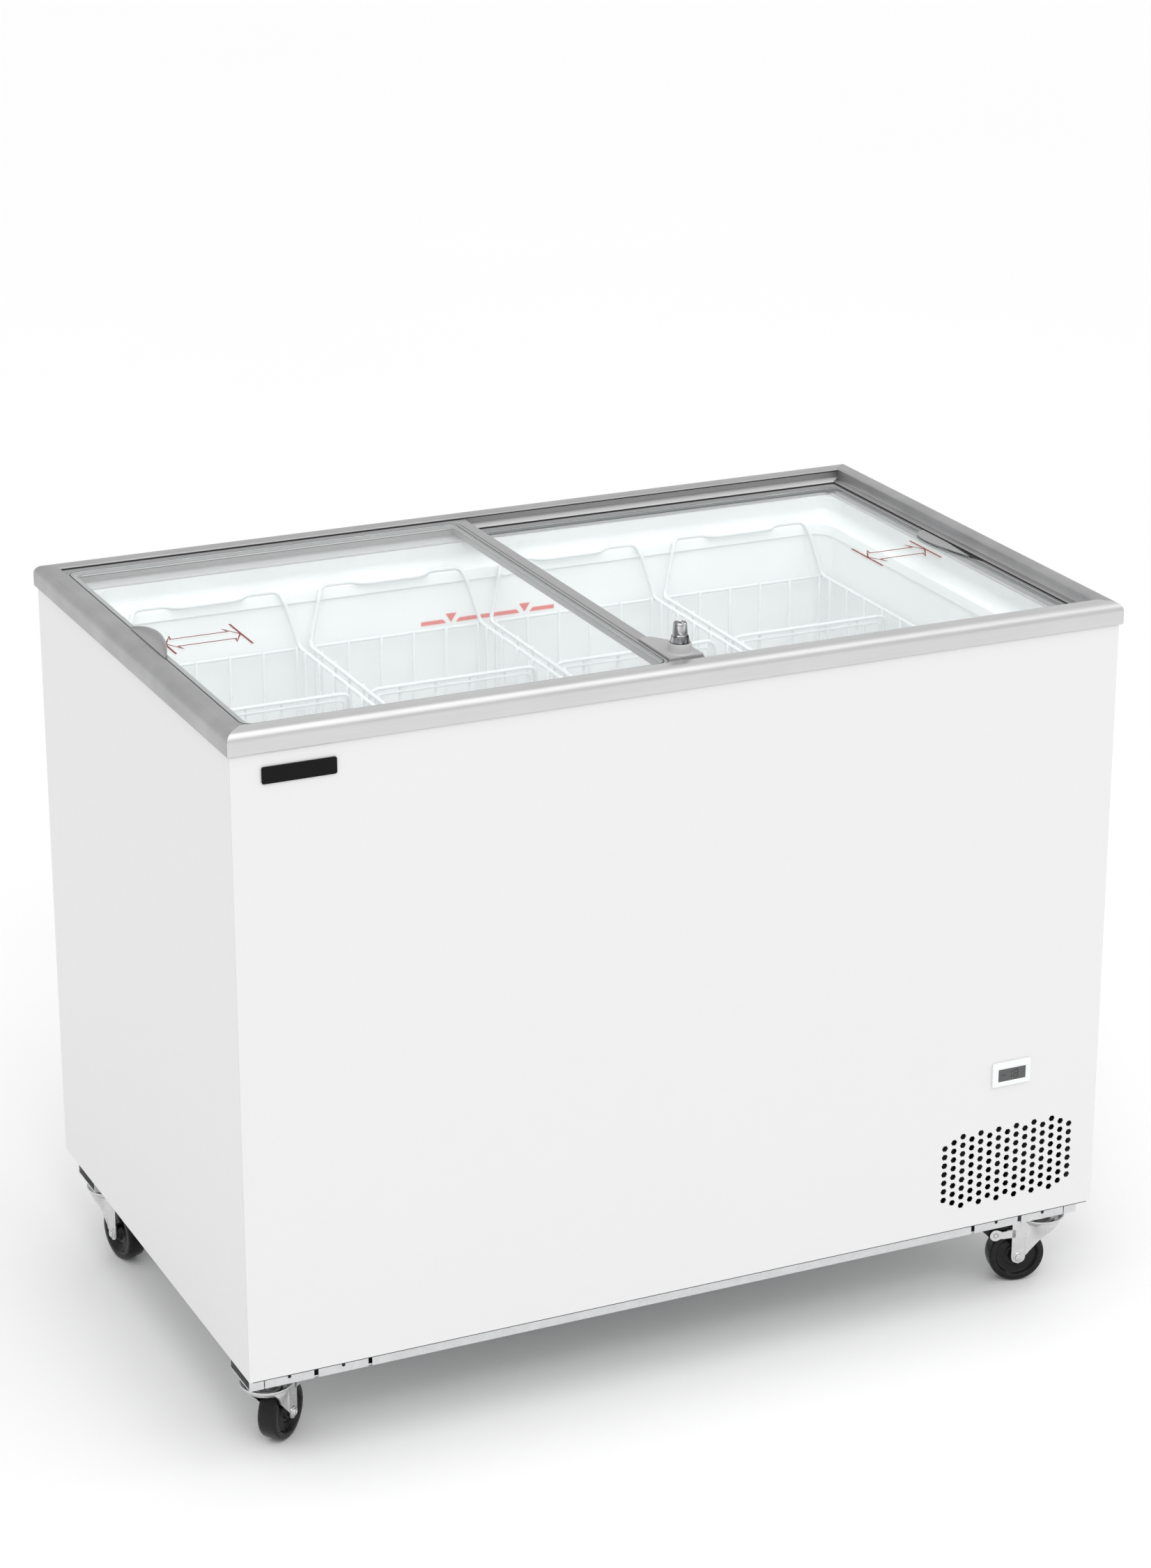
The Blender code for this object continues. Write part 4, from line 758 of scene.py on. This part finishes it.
def make_load_line():
    """Red fill limit on the tub's rear wall: a bar with two marker triangles."""
    wall_thickness, print_gap, print_thickness = 0.002, 0.00035, 0.0003
    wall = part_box("inner_liner")[1].y - wall_thickness
    place = Matrix.Translation((0, wall - print_gap, 0)) @ UPRIGHT
    start, marks, end = 0.443, (0.481, 0.575), 0.613
    low, high, top, point = -0.0934, -0.0886, -0.0822, -0.0928
    gap, half_mark, lean = 0.0084, 0.0070, 0.0022
    shapes, edges = [], [start]
    for mark in marks:
        edges += [mark - gap, mark + gap]
        shapes.append([(mark, point), (mark + half_mark, top), (mark - half_mark, top)])
    edges.append(end)
    for x0, x1 in zip(edges[::2], edges[1::2]):
        lean0 = lean if x0 != start else 0.0
        lean1 = lean if x1 != end else 0.0
        shapes.append([(x0 - lean0, low), (x1 + lean1, low), (x1 - lean1, high), (x0 + lean0, high)])
    bm = bmesh.new()
    for shape in shapes:
        plate(bm, [(X0 + x, TOP + z) for x, z in shape], 0.0, print_thickness, place=place)
    finish_mesh("load_line", bm, "red_line", "cabinet")


# ---- front fittings
def make_badge():
    low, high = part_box("name_plate")
    outline = rounded((low.x, low.z), (high.x, high.z), 0.0022)
    bm = plate(bmesh.new(), outline, low.y, high.y, place=UPRIGHT)
    finish_mesh("blank_plate", bm, "badge", "cabinet", ["name_plate"], bevel=0.0005, segments=3)


def make_thermometer():
    """White bezel round a sunk display window."""
    low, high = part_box("thermometer_bezel")
    window_low, window_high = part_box("thermometer_display")
    window_box = (window_low.x, window_low.z), (window_high.x, window_high.z)
    window_gap, chamfer, print_gap = 0.0002, 0.0020, 0.00012
    window, mouth = (rectangle(*grown(window_box, by)) for by in (window_gap, window_gap + chamfer))
    opening = [(mouth, low.y), (window, low.y + 0.0009), (window, high.y)]
    outline = rounded((low.x, low.z), (high.x, high.z), 0.0014)
    bm = plate(bmesh.new(), outline, low.y, high.y, [opening], UPRIGHT)
    finish_mesh("bezel", bm, "white", "cabinet", ["thermometer_bezel"], bevel=0.0004, segments=3)
    dress("display", "thermometer_display")
    middle = (window_low + window_high) / 2
    make_digits(Matrix.Translation((middle.x, window_low.y - print_gap, middle.z)) @ UPRIGHT)


def make_digits(place):
    """A generic reading in seven-segment digits: a minus sign and two digits."""
    length, line, half, quarter, arm, thickness = 0.0037, 0.0009, 0.0048, 0.0024, 0.0024, 0.0001
    segments = {
        "a": (0, half, length, line), "g": (0, 0, length, line), "d": (0, -half, length, line),
        "b": (arm, quarter, line, length), "c": (arm, -quarter, line, length),
        "f": (-arm, quarter, line, length), "e": (-arm, -quarter, line, length),
    }  # fmt: skip
    bars = [(-0.0105, 0.0, 0.0036, line)]
    for shift, lit in ((-0.0030, "bc"), (0.0050, "abcdefg")):
        for name in lit:
            x, z, wide, tall = segments[name]
            bars.append((x + shift, z, wide, tall))
    bm = bmesh.new()
    for x, z, wide, tall in bars:
        outline = rectangle((x - wide / 2, z - tall / 2), (x + wide / 2, z + tall / 2))
        plate(bm, outline, 0.0, thickness, place=place)
    finish_mesh("display_digits", bm, "digit", "cabinet")


# ---- baskets
def make_basket(name):
    """Wire basket: a hanger loop, end wires, a grid of hoops and two bands round the sides."""
    hanger_radius, end_radius, wire_radius = 0.0023, 0.0019, 0.0016
    rim, half_length, hanger_bend, hoop_bend = TOP - 0.0930, 0.246, 0.0085, 0.012
    columns, column_pitch, rows = 6, 0.0406, 11
    low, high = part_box(name)
    middle = (low + high) / 2
    half_x, half_y = (high.x - low.x) / 2 - hanger_radius, half_length - hanger_radius
    reach, hang = (high.y - low.y) / 2 - hanger_radius, high.z - hanger_radius
    bottom = low.z + wire_radius

    def placed(points):
        return [(middle.x + x, middle.y + y, z) for x, y, z in points]

    end = [
        (half_x, half_y, rim),
        (half_x - 0.0150, reach - 0.0110, hang - 0.0110),
        (half_x - 0.0190, reach - 0.0060, hang - 0.0010),
        (half_x - 0.0265, reach, hang),
        (0.0510, reach, hang),
        (0.0400, reach - 0.0085, hang - 0.0008),
        (0.0300, reach - 0.0105, hang - 0.0012),
    ]
    loop = end + [(-x, y, z) for x, y, z in reversed(end)]
    loop += [(-x, -y, z) for x, y, z in loop]
    bm = bmesh.new()
    tube(bm, fillet(placed(loop), hanger_bend, 5, closed=True), hanger_radius, 12, closed=True)
    for y in (0.0005 - half_y, half_y - 0.0005):
        tube(bm, placed([(-half_x, y, rim - 0.0010), (half_x, y, rim - 0.0010)]), end_radius)
    inner_x, inner_y, top, floor = half_x - 0.0038, half_y - 0.0040, rim + 0.0012, bottom + 0.0031
    for i in range(columns):
        x = (i - (columns - 1) / 2) * column_pitch
        hoop = [(x, -inner_y, top), (x, -inner_y, bottom), (x, inner_y, bottom), (x, inner_y, top)]
        tube(bm, fillet(placed(hoop), hoop_bend), wire_radius, 8)
    for i in range(rows):
        y = (i - (rows - 1) / 2) * 2 * inner_y / (rows + 0.1)
        hoop = [(-inner_x, y, top), (-inner_x, y, floor), (inner_x, y, floor), (inner_x, y, top)]
        tube(bm, fillet(placed(hoop), hoop_bend), wire_radius, 8)
    for share in (0.34, 0.68):
        z = rim + (bottom - rim) * share
        corner = half_x - 0.0010, half_y - 0.0012
        band = rounded((-corner[0], -corner[1]), corner, 0.010, 4)
        tube(bm, placed([(u, v, z) for u, v in band]), wire_radius, 8, closed=True)
    finish_mesh(name + "_wires", bm, "coat", name, [name], sharp=60)


def make_divider(name):
    """Wire panel across the basket: two round-cornered loops, upright wires and two cross wires."""
    basket_low, basket_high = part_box(name)
    mid_x = ((basket_low + basket_high) / 2).x
    low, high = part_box(name + "_divider")
    y = (low.y + high.y) / 2
    half = (high.x - low.x) / 2 - 0.0020
    top, bottom = high.z - 0.0018, low.z + 0.0010
    wire_radius = 0.0015
    bm = bmesh.new()
    for inset, radius in ((0.0, 0.0021), (0.0068, 0.0016)):
        side, crown = half - inset, top - inset
        path = [(-side, bottom), (-side, crown), (side, crown), (side, bottom)]
        path = fillet([(mid_x + u, y, w) for u, w in path], 0.012 - inset * 0.5, 6)
        tube(bm, path, radius, 10)
    for x in (-0.064, -0.021, 0.021, 0.064):
        upright = [(mid_x + x, y + 0.0026, top + 0.0005), (mid_x + x, y + 0.0026, bottom)]
        tube(bm, upright, wire_radius, 8)
    for share in (0.45, 0.98):
        z = top + (bottom - top) * share
        tube(bm, [(mid_x - half, y - 0.0005, z), (mid_x + half, y - 0.0005, z)], wire_radius, 8)
    finish_mesh(name + "_divider_wires", bm, "coat", name, [name + "_divider"], sharp=60)


# ---- castors
# A castor's corner, its body, its upright axis, its trail, and its hub's height and place.
Castor = namedtuple("Castor", "corner name place trail axle hub")

# Half the gap between the legs, the legs' sheet, the radius of their foot, and the pedal's eye from the hub.
LEG_GAP, LEG_SHEET, FOOT_RADIUS, EYE_OUT, EYE_UP = 0.0140, 0.0022, 0.0083, 0.028, 0.030


def make_castors():
    """Each castor stands at its swivel joint and turns its hub towards its roll joint."""
    for corner in ("front_left", "front_right", "rear_left", "rear_right"):
        pin = Vector(joints["swivel_" + corner]["pos_m"])
        hub = Vector(joints["roll_" + corner]["pos_m"])
        trail = (hub - pin).xy.length
        heading = math.atan2(hub.y - pin.y, hub.x - pin.x)
        place = Matrix.Translation((pin.x, pin.y, 0)) @ Matrix.Rotation(heading, 4, "Z")
        hub_place = place @ Matrix.Translation((trail, 0, hub.z))
        castor = Castor(corner, "castor_" + corner, place, trail, hub.z, hub_place)
        brake = "brake_" + corner in frame["bodies"]
        make_fork(castor, brake)
        make_tyre(castor)
        make_king_pin(castor)
        if brake:
            make_pedal(castor)


def make_king_pin(castor):
    """King pin with its lower nut, bearing race and top disc."""
    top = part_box(castor.name + "_head")[1].z
    profile = [
        (0, 0.0672), (0.0105, 0.0672), (0.0125, 0.0680), (0.0125, 0.0708), (0.0080, 0.0712), (0.0080, 0.0745),
        (0.0162, 0.0745), (0.0170, 0.0752), (0.0168, 0.0775), (0.0120, 0.0800), (0.0104, 0.0812),
        (0.0104, 0.0845), (0.0205, 0.0850), (0.0214, 0.0856), (0.0214, top), (0, top),
    ]  # fmt: skip
    bm = turned(bmesh.new(), profile, 48, castor.place)
    finish_mesh(castor.name + "_king_pin", bm, "zinc", "cabinet", [castor.name + "_head"], sharp=40)


def make_fork(castor, brake):
    """Bowl over the bearing, two legs with nuts and, with a brake, straps, and the shaft between the legs."""
    bowl = [
        (0.0084, 0.0715), (0.0200, 0.0715), (0.0222, 0.0720), (0.0240, 0.0734), (0.0268, 0.0772),
        (0.0284, 0.0790), (0.0287, 0.0800), (0.0285, 0.0809), (0.0276, 0.0810), (0.0262, 0.0800),
        (0.0228, 0.0752), (0.0208, 0.0738), (0.0084, 0.0737),
    ]  # fmt: skip
    bm = turned(bmesh.new(), bowl, 64, castor.place, closed=True)
    finish_mesh(castor.name + "_bowl", bm, "zinc", castor.name, [castor.name + "_fork"], sharp=40)
    for side, label in ((-1, "_a"), (1, "_b")):
        make_leg(castor, side, label)
        make_nut(castor, side, label)
        if brake:
            make_strap(castor, side, label)
    chamfer = 0.0004
    shaft = [
        (0, -LEG_GAP), (0.0036, -LEG_GAP), (0.0040, chamfer - LEG_GAP),
        (0.0040, LEG_GAP - chamfer), (0.0036, LEG_GAP), (0, LEG_GAP),
    ]  # fmt: skip
    bm = turned(bmesh.new(), shaft, 24, castor.hub @ SIDEWAYS)
    finish_mesh(castor.name + "_shaft", bm, "zinc", castor.name, [castor.name + "_axle"], sharp=40)


def eased(share):
    """A share held between 0 and 1, with soft ends."""
    share = max(0.0, min(1.0, share))
    return share * share * (3 - 2 * share)


def make_leg(castor, side, label):
    """Pressed leg: it follows the bowl's rim at the top, has a crease, and ends in a round foot."""
    top, front_top, bowl_radius = 0.0790, -0.0205, 0.0262
    crease, crease_height, crease_width = castor.trail - 0.0095, 0.0012, 0.0015
    bow_start, bow_height, bow_width = 0.052, 0.026, 0.014
    rows, columns = 22, 28
    rings = []
    for row in range(rows + 1):
        z = top - row / rows * (top - castor.axle + FOOT_RADIUS)
        if z > castor.axle:
            drop = (top - z) / (top - castor.axle)
            back = castor.trail + FOOT_RADIUS
            front = front_top + (castor.trail - FOOT_RADIUS * 0.80 - front_top) * drop**1.02
        else:
            half = math.sqrt(max(0.0, FOOT_RADIUS**2 - (castor.axle - z) ** 2))
            back, front = castor.trail + half, castor.trail - half * 0.98
        lift = eased((z - bow_start) / bow_height)
        outer, inner = [], []
        for column in range(columns + 1):
            x = back + (front - back) * column / columns
            bow = max(0.0, math.sqrt(max(0.0, bowl_radius**2 - x * x)) - LEG_GAP - LEG_SHEET)
            ridge = crease_height * math.exp(-(((x - crease) / crease_width) ** 2)) * (1 - 0.7 * lift)
            y = LEG_GAP + bow * eased((crease - x) / bow_width) * lift + ridge
            outer.append(castor.place @ Vector((x, side * (y + LEG_SHEET), z)))
            inner.append(castor.place @ Vector((x, side * y, z)))
        rings.append(outer + inner[::-1])
    bm = loft(bmesh.new(), rings)
    finish_mesh(castor.name + "_leg" + label, bm, "zinc", castor.name, sharp=42, bevel=0.0003)


def make_nut(castor, side, label):
    """Washer and cap nut on a leg's outer face."""
    outward = Matrix.Rotation(math.radians(-90 * side), 4, "X")
    face = side * (LEG_GAP + LEG_SHEET)
    place = castor.place @ Matrix.Translation((castor.trail, face, castor.axle)) @ outward
    washer = [(0, 0.0), (0.0061, 0.0), (0.0061, 0.0008), (0.0054, 0.0014), (0, 0.0014)]
    cap = [
        (0, 0.0013), (0.0043, 0.0013), (0.0043, 0.0022), (0.0038, 0.0029), (0.0030, 0.0032), (0.0017, 0.0031),
        (0.0012, 0.0022), (0, 0.0021),
    ]  # fmt: skip
    bm = bmesh.new()
    for profile in (washer, cap):
        turned(bm, profile, 32, place)
    finish_mesh(castor.name + "_nut" + label, bm, "zinc", castor.name, sharp=45)


def make_strap(castor, side, label):
    """Strap from the leg to the brake pedal's pin, with a drilled eye."""
    start, x, z = castor.trail + 0.0040, castor.trail + EYE_OUT, castor.axle + EYE_UP
    outline = [
        (start, 0.0585), (x - 0.0095, z - 0.0050), (x - 0.0058, z - 0.0048),
        *circle(x, z, 0.0070, 28, math.radians(-140))[1:20],
        (x - 0.0080, z + 0.0040), (start, 0.0690),
    ]  # fmt: skip
    low, high = sorted((side * LEG_GAP, side * (LEG_GAP + LEG_SHEET)))
    bm = plate(bmesh.new(), outline, low, high, [circle(x, z, 0.0029, 20)], castor.place @ UPRIGHT)
    finish_mesh(castor.name + "_arm" + label, bm, "zinc", castor.name, sharp=35, bevel=0.0003)


def make_tyre(castor):
    """Wheel in one profile, the same on both sides: hub, dished web and round-shouldered tread."""
    half = 0.0110
    side = [
        (0.0043, half + 0.0020), (0.0078, half + 0.0020), (0.0086, half + 0.0014), (0.0092, half - 0.0030),
        (0.0104, half - 0.0044), (0.0128, half - 0.0050), (0.0136, half - 0.0046), (0.0146, half - 0.0052),
        (0.0225, half - 0.0054), (0.0240, half - 0.0046), (0.0252, half - 0.0008), (0.0260, half - 0.0002),
        (0.0268, half), (0.0308, half), (0.0320, half - 0.0006), (0.0327, half - 0.0018),
        (0.0330, half - 0.0040),
    ]  # fmt: skip
    profile = side + [(radius, -height) for radius, height in reversed(side)]
    bm = turned(bmesh.new(), profile, 72, castor.hub @ SIDEWAYS, closed=True)
    body, replaced = "wheel_" + castor.corner, [castor.name + "_wheel"]
    finish_mesh(castor.name + "_tyre", bm, "wheel", body, replaced, sharp=50)


def make_pedal(castor):
    """Brake pedal with ribs across its tread, on a pin through the straps' eyes."""
    body, replaced = "brake_" + castor.corner, [castor.name + "_brake"]
    eye = castor.place @ Matrix.Translation((castor.trail + EYE_OUT, 0, castor.axle + EYE_UP))
    place = eye @ UPRIGHT
    outline = [
        (-0.0150, 0.0050), (-0.0090, -0.0015), (-0.0039, -0.0065), (0.0000, -0.0072), (0.0035, -0.0068),
        (0.0075, -0.0030), (0.0110, 0.0010), (0.0180, 0.0075), (0.0236, 0.0122), (0.0240, 0.0135),
        (0.0236, 0.0152), (0.0200, 0.0154), (0.0140, 0.0142), (0.0080, 0.0135), (-0.0150, 0.0095),
    ]  # fmt: skip
    half, ribs, rib_width, rib_inset = 0.0126, 4, 0.0012, 0.002
    bm = plate(bmesh.new(), outline, -half, half, place=place)
    for i in range(ribs):
        x, z = 0.0120 + 0.0030 * i, 0.0140 + 0.0004 * i
        rib = rectangle((x, z - 0.001), (x + rib_width, z + 0.0011))
        plate(bm, rib, rib_inset - half, half - rib_inset, place=place)
    finish_mesh(castor.name + "_pedal", bm, "black", body, replaced, bevel=0.0005)
    end = [(0.0026, 0.0161), (0.0021, 0.0166), (0, 0.0166)]
    profile = [(radius, -height) for radius, height in reversed(end)] + end
    bm = turned(bmesh.new(), profile, 20, eye @ SIDEWAYS)
    finish_mesh(castor.name + "_pedal_pin", bm, "zinc", body)


# ---- small hardware on the sheet metal
def make_rear_screws():
    """Pan-head screws with a sunk centre round the rear panel."""
    radius = 0.0036
    profile = [
        (0, 0.0006), (radius * 0.28, 0.0006), (radius * 0.36, 0.0015), (radius * 0.75, 0.0013),
        (radius, 0.0006), (radius, 0.0), (0, 0.0),
    ]  # fmt: skip
    left, right, low, high = 0.020, WIDTH - 0.020, BOTTOM - TOP + 0.018, -0.022
    spots = [(x, z) for x in (left, 0.265, 0.515, 0.765, right) for z in (high, low)]
    spots += [(x, z) for x in (left, right) for z in (-0.240, -0.460)]
    facing_rear = Matrix.Rotation(math.radians(-90), 4, "X")
    bm = bmesh.new()
    for x, z in spots:
        turned(bm, profile, 18, Matrix.Translation(at(x, DEPTH, z)) @ facing_rear)
    finish_mesh("rear_screws", bm, "zinc", "cabinet")


def make_base_painted_shadow():
    """Dark strip behind the front panel's bottom fold, which paints the shadow line under the fold."""
    end_gap = 0.004
    low, high = at(end_gap, 0.0012, 0), at(WIDTH - end_gap, 0.0042, 0)
    bm = block(bmesh.new(), (low.x, low.y, BOTTOM - 0.0017), (high.x, high.y, BOTTOM - 0.0001))
    finish_mesh("panel_bottom_bead", bm, "seal_and_painted_shadow", "cabinet", bevel=0.0003)


def make_channel_hole_shade():
    """Small black discs on the front channel that paint the shade in its holes, a pair near each front
    castor.
    """
    web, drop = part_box("front_channel")[0].y, 0.0132
    profile = [(0, -0.0002), (0.0020, -0.0002), (0.0020, 0.0003), (0.0015, 0.0007), (0, 0.0007)]
    bm = bmesh.new()
    for x in (0.0515, 0.1130, WIDTH - 0.1130, WIDTH - 0.0515):
        turned(bm, profile, 20, Matrix.Translation((X0 + x, web, BOTTOM - drop)) @ SIDEWAYS)
    finish_mesh("channel_plugs", bm, "black", "cabinet")


def main():
    make_camera()
    make_floor()
    make_lights()
    make_rails()
    make_painted_shadow_strips()
    make_collar()
    make_lids()
    make_raised_grip()
    make_flush_grip()
    make_lock()
    make_stickers()
    make_load_line()
    make_badge()
    make_thermometer()
    for index in range(1, 5):
        make_basket(f"basket_{index}")
        make_divider(f"basket_{index}")
    make_castors()
    make_rear_screws()
    make_base_painted_shadow()
    make_channel_hole_shade()
    dress("paint", "front_panel", "rear_panel")
    dress("paint_side", "left_panel", "right_panel")
    dress("galvanised", "base_pan", "front_channel", "rear_channel")
    dress("liner", "inner_liner")
    dress("foam", "foam_insulation")
    dress("copper", "evaporator_coil")
    dress("fins", "condenser")
    dress("enamel", "compressor")
    dress("black", "fan_motor", "fan_blade", "power_inlet", "thermostat_knob")


main()
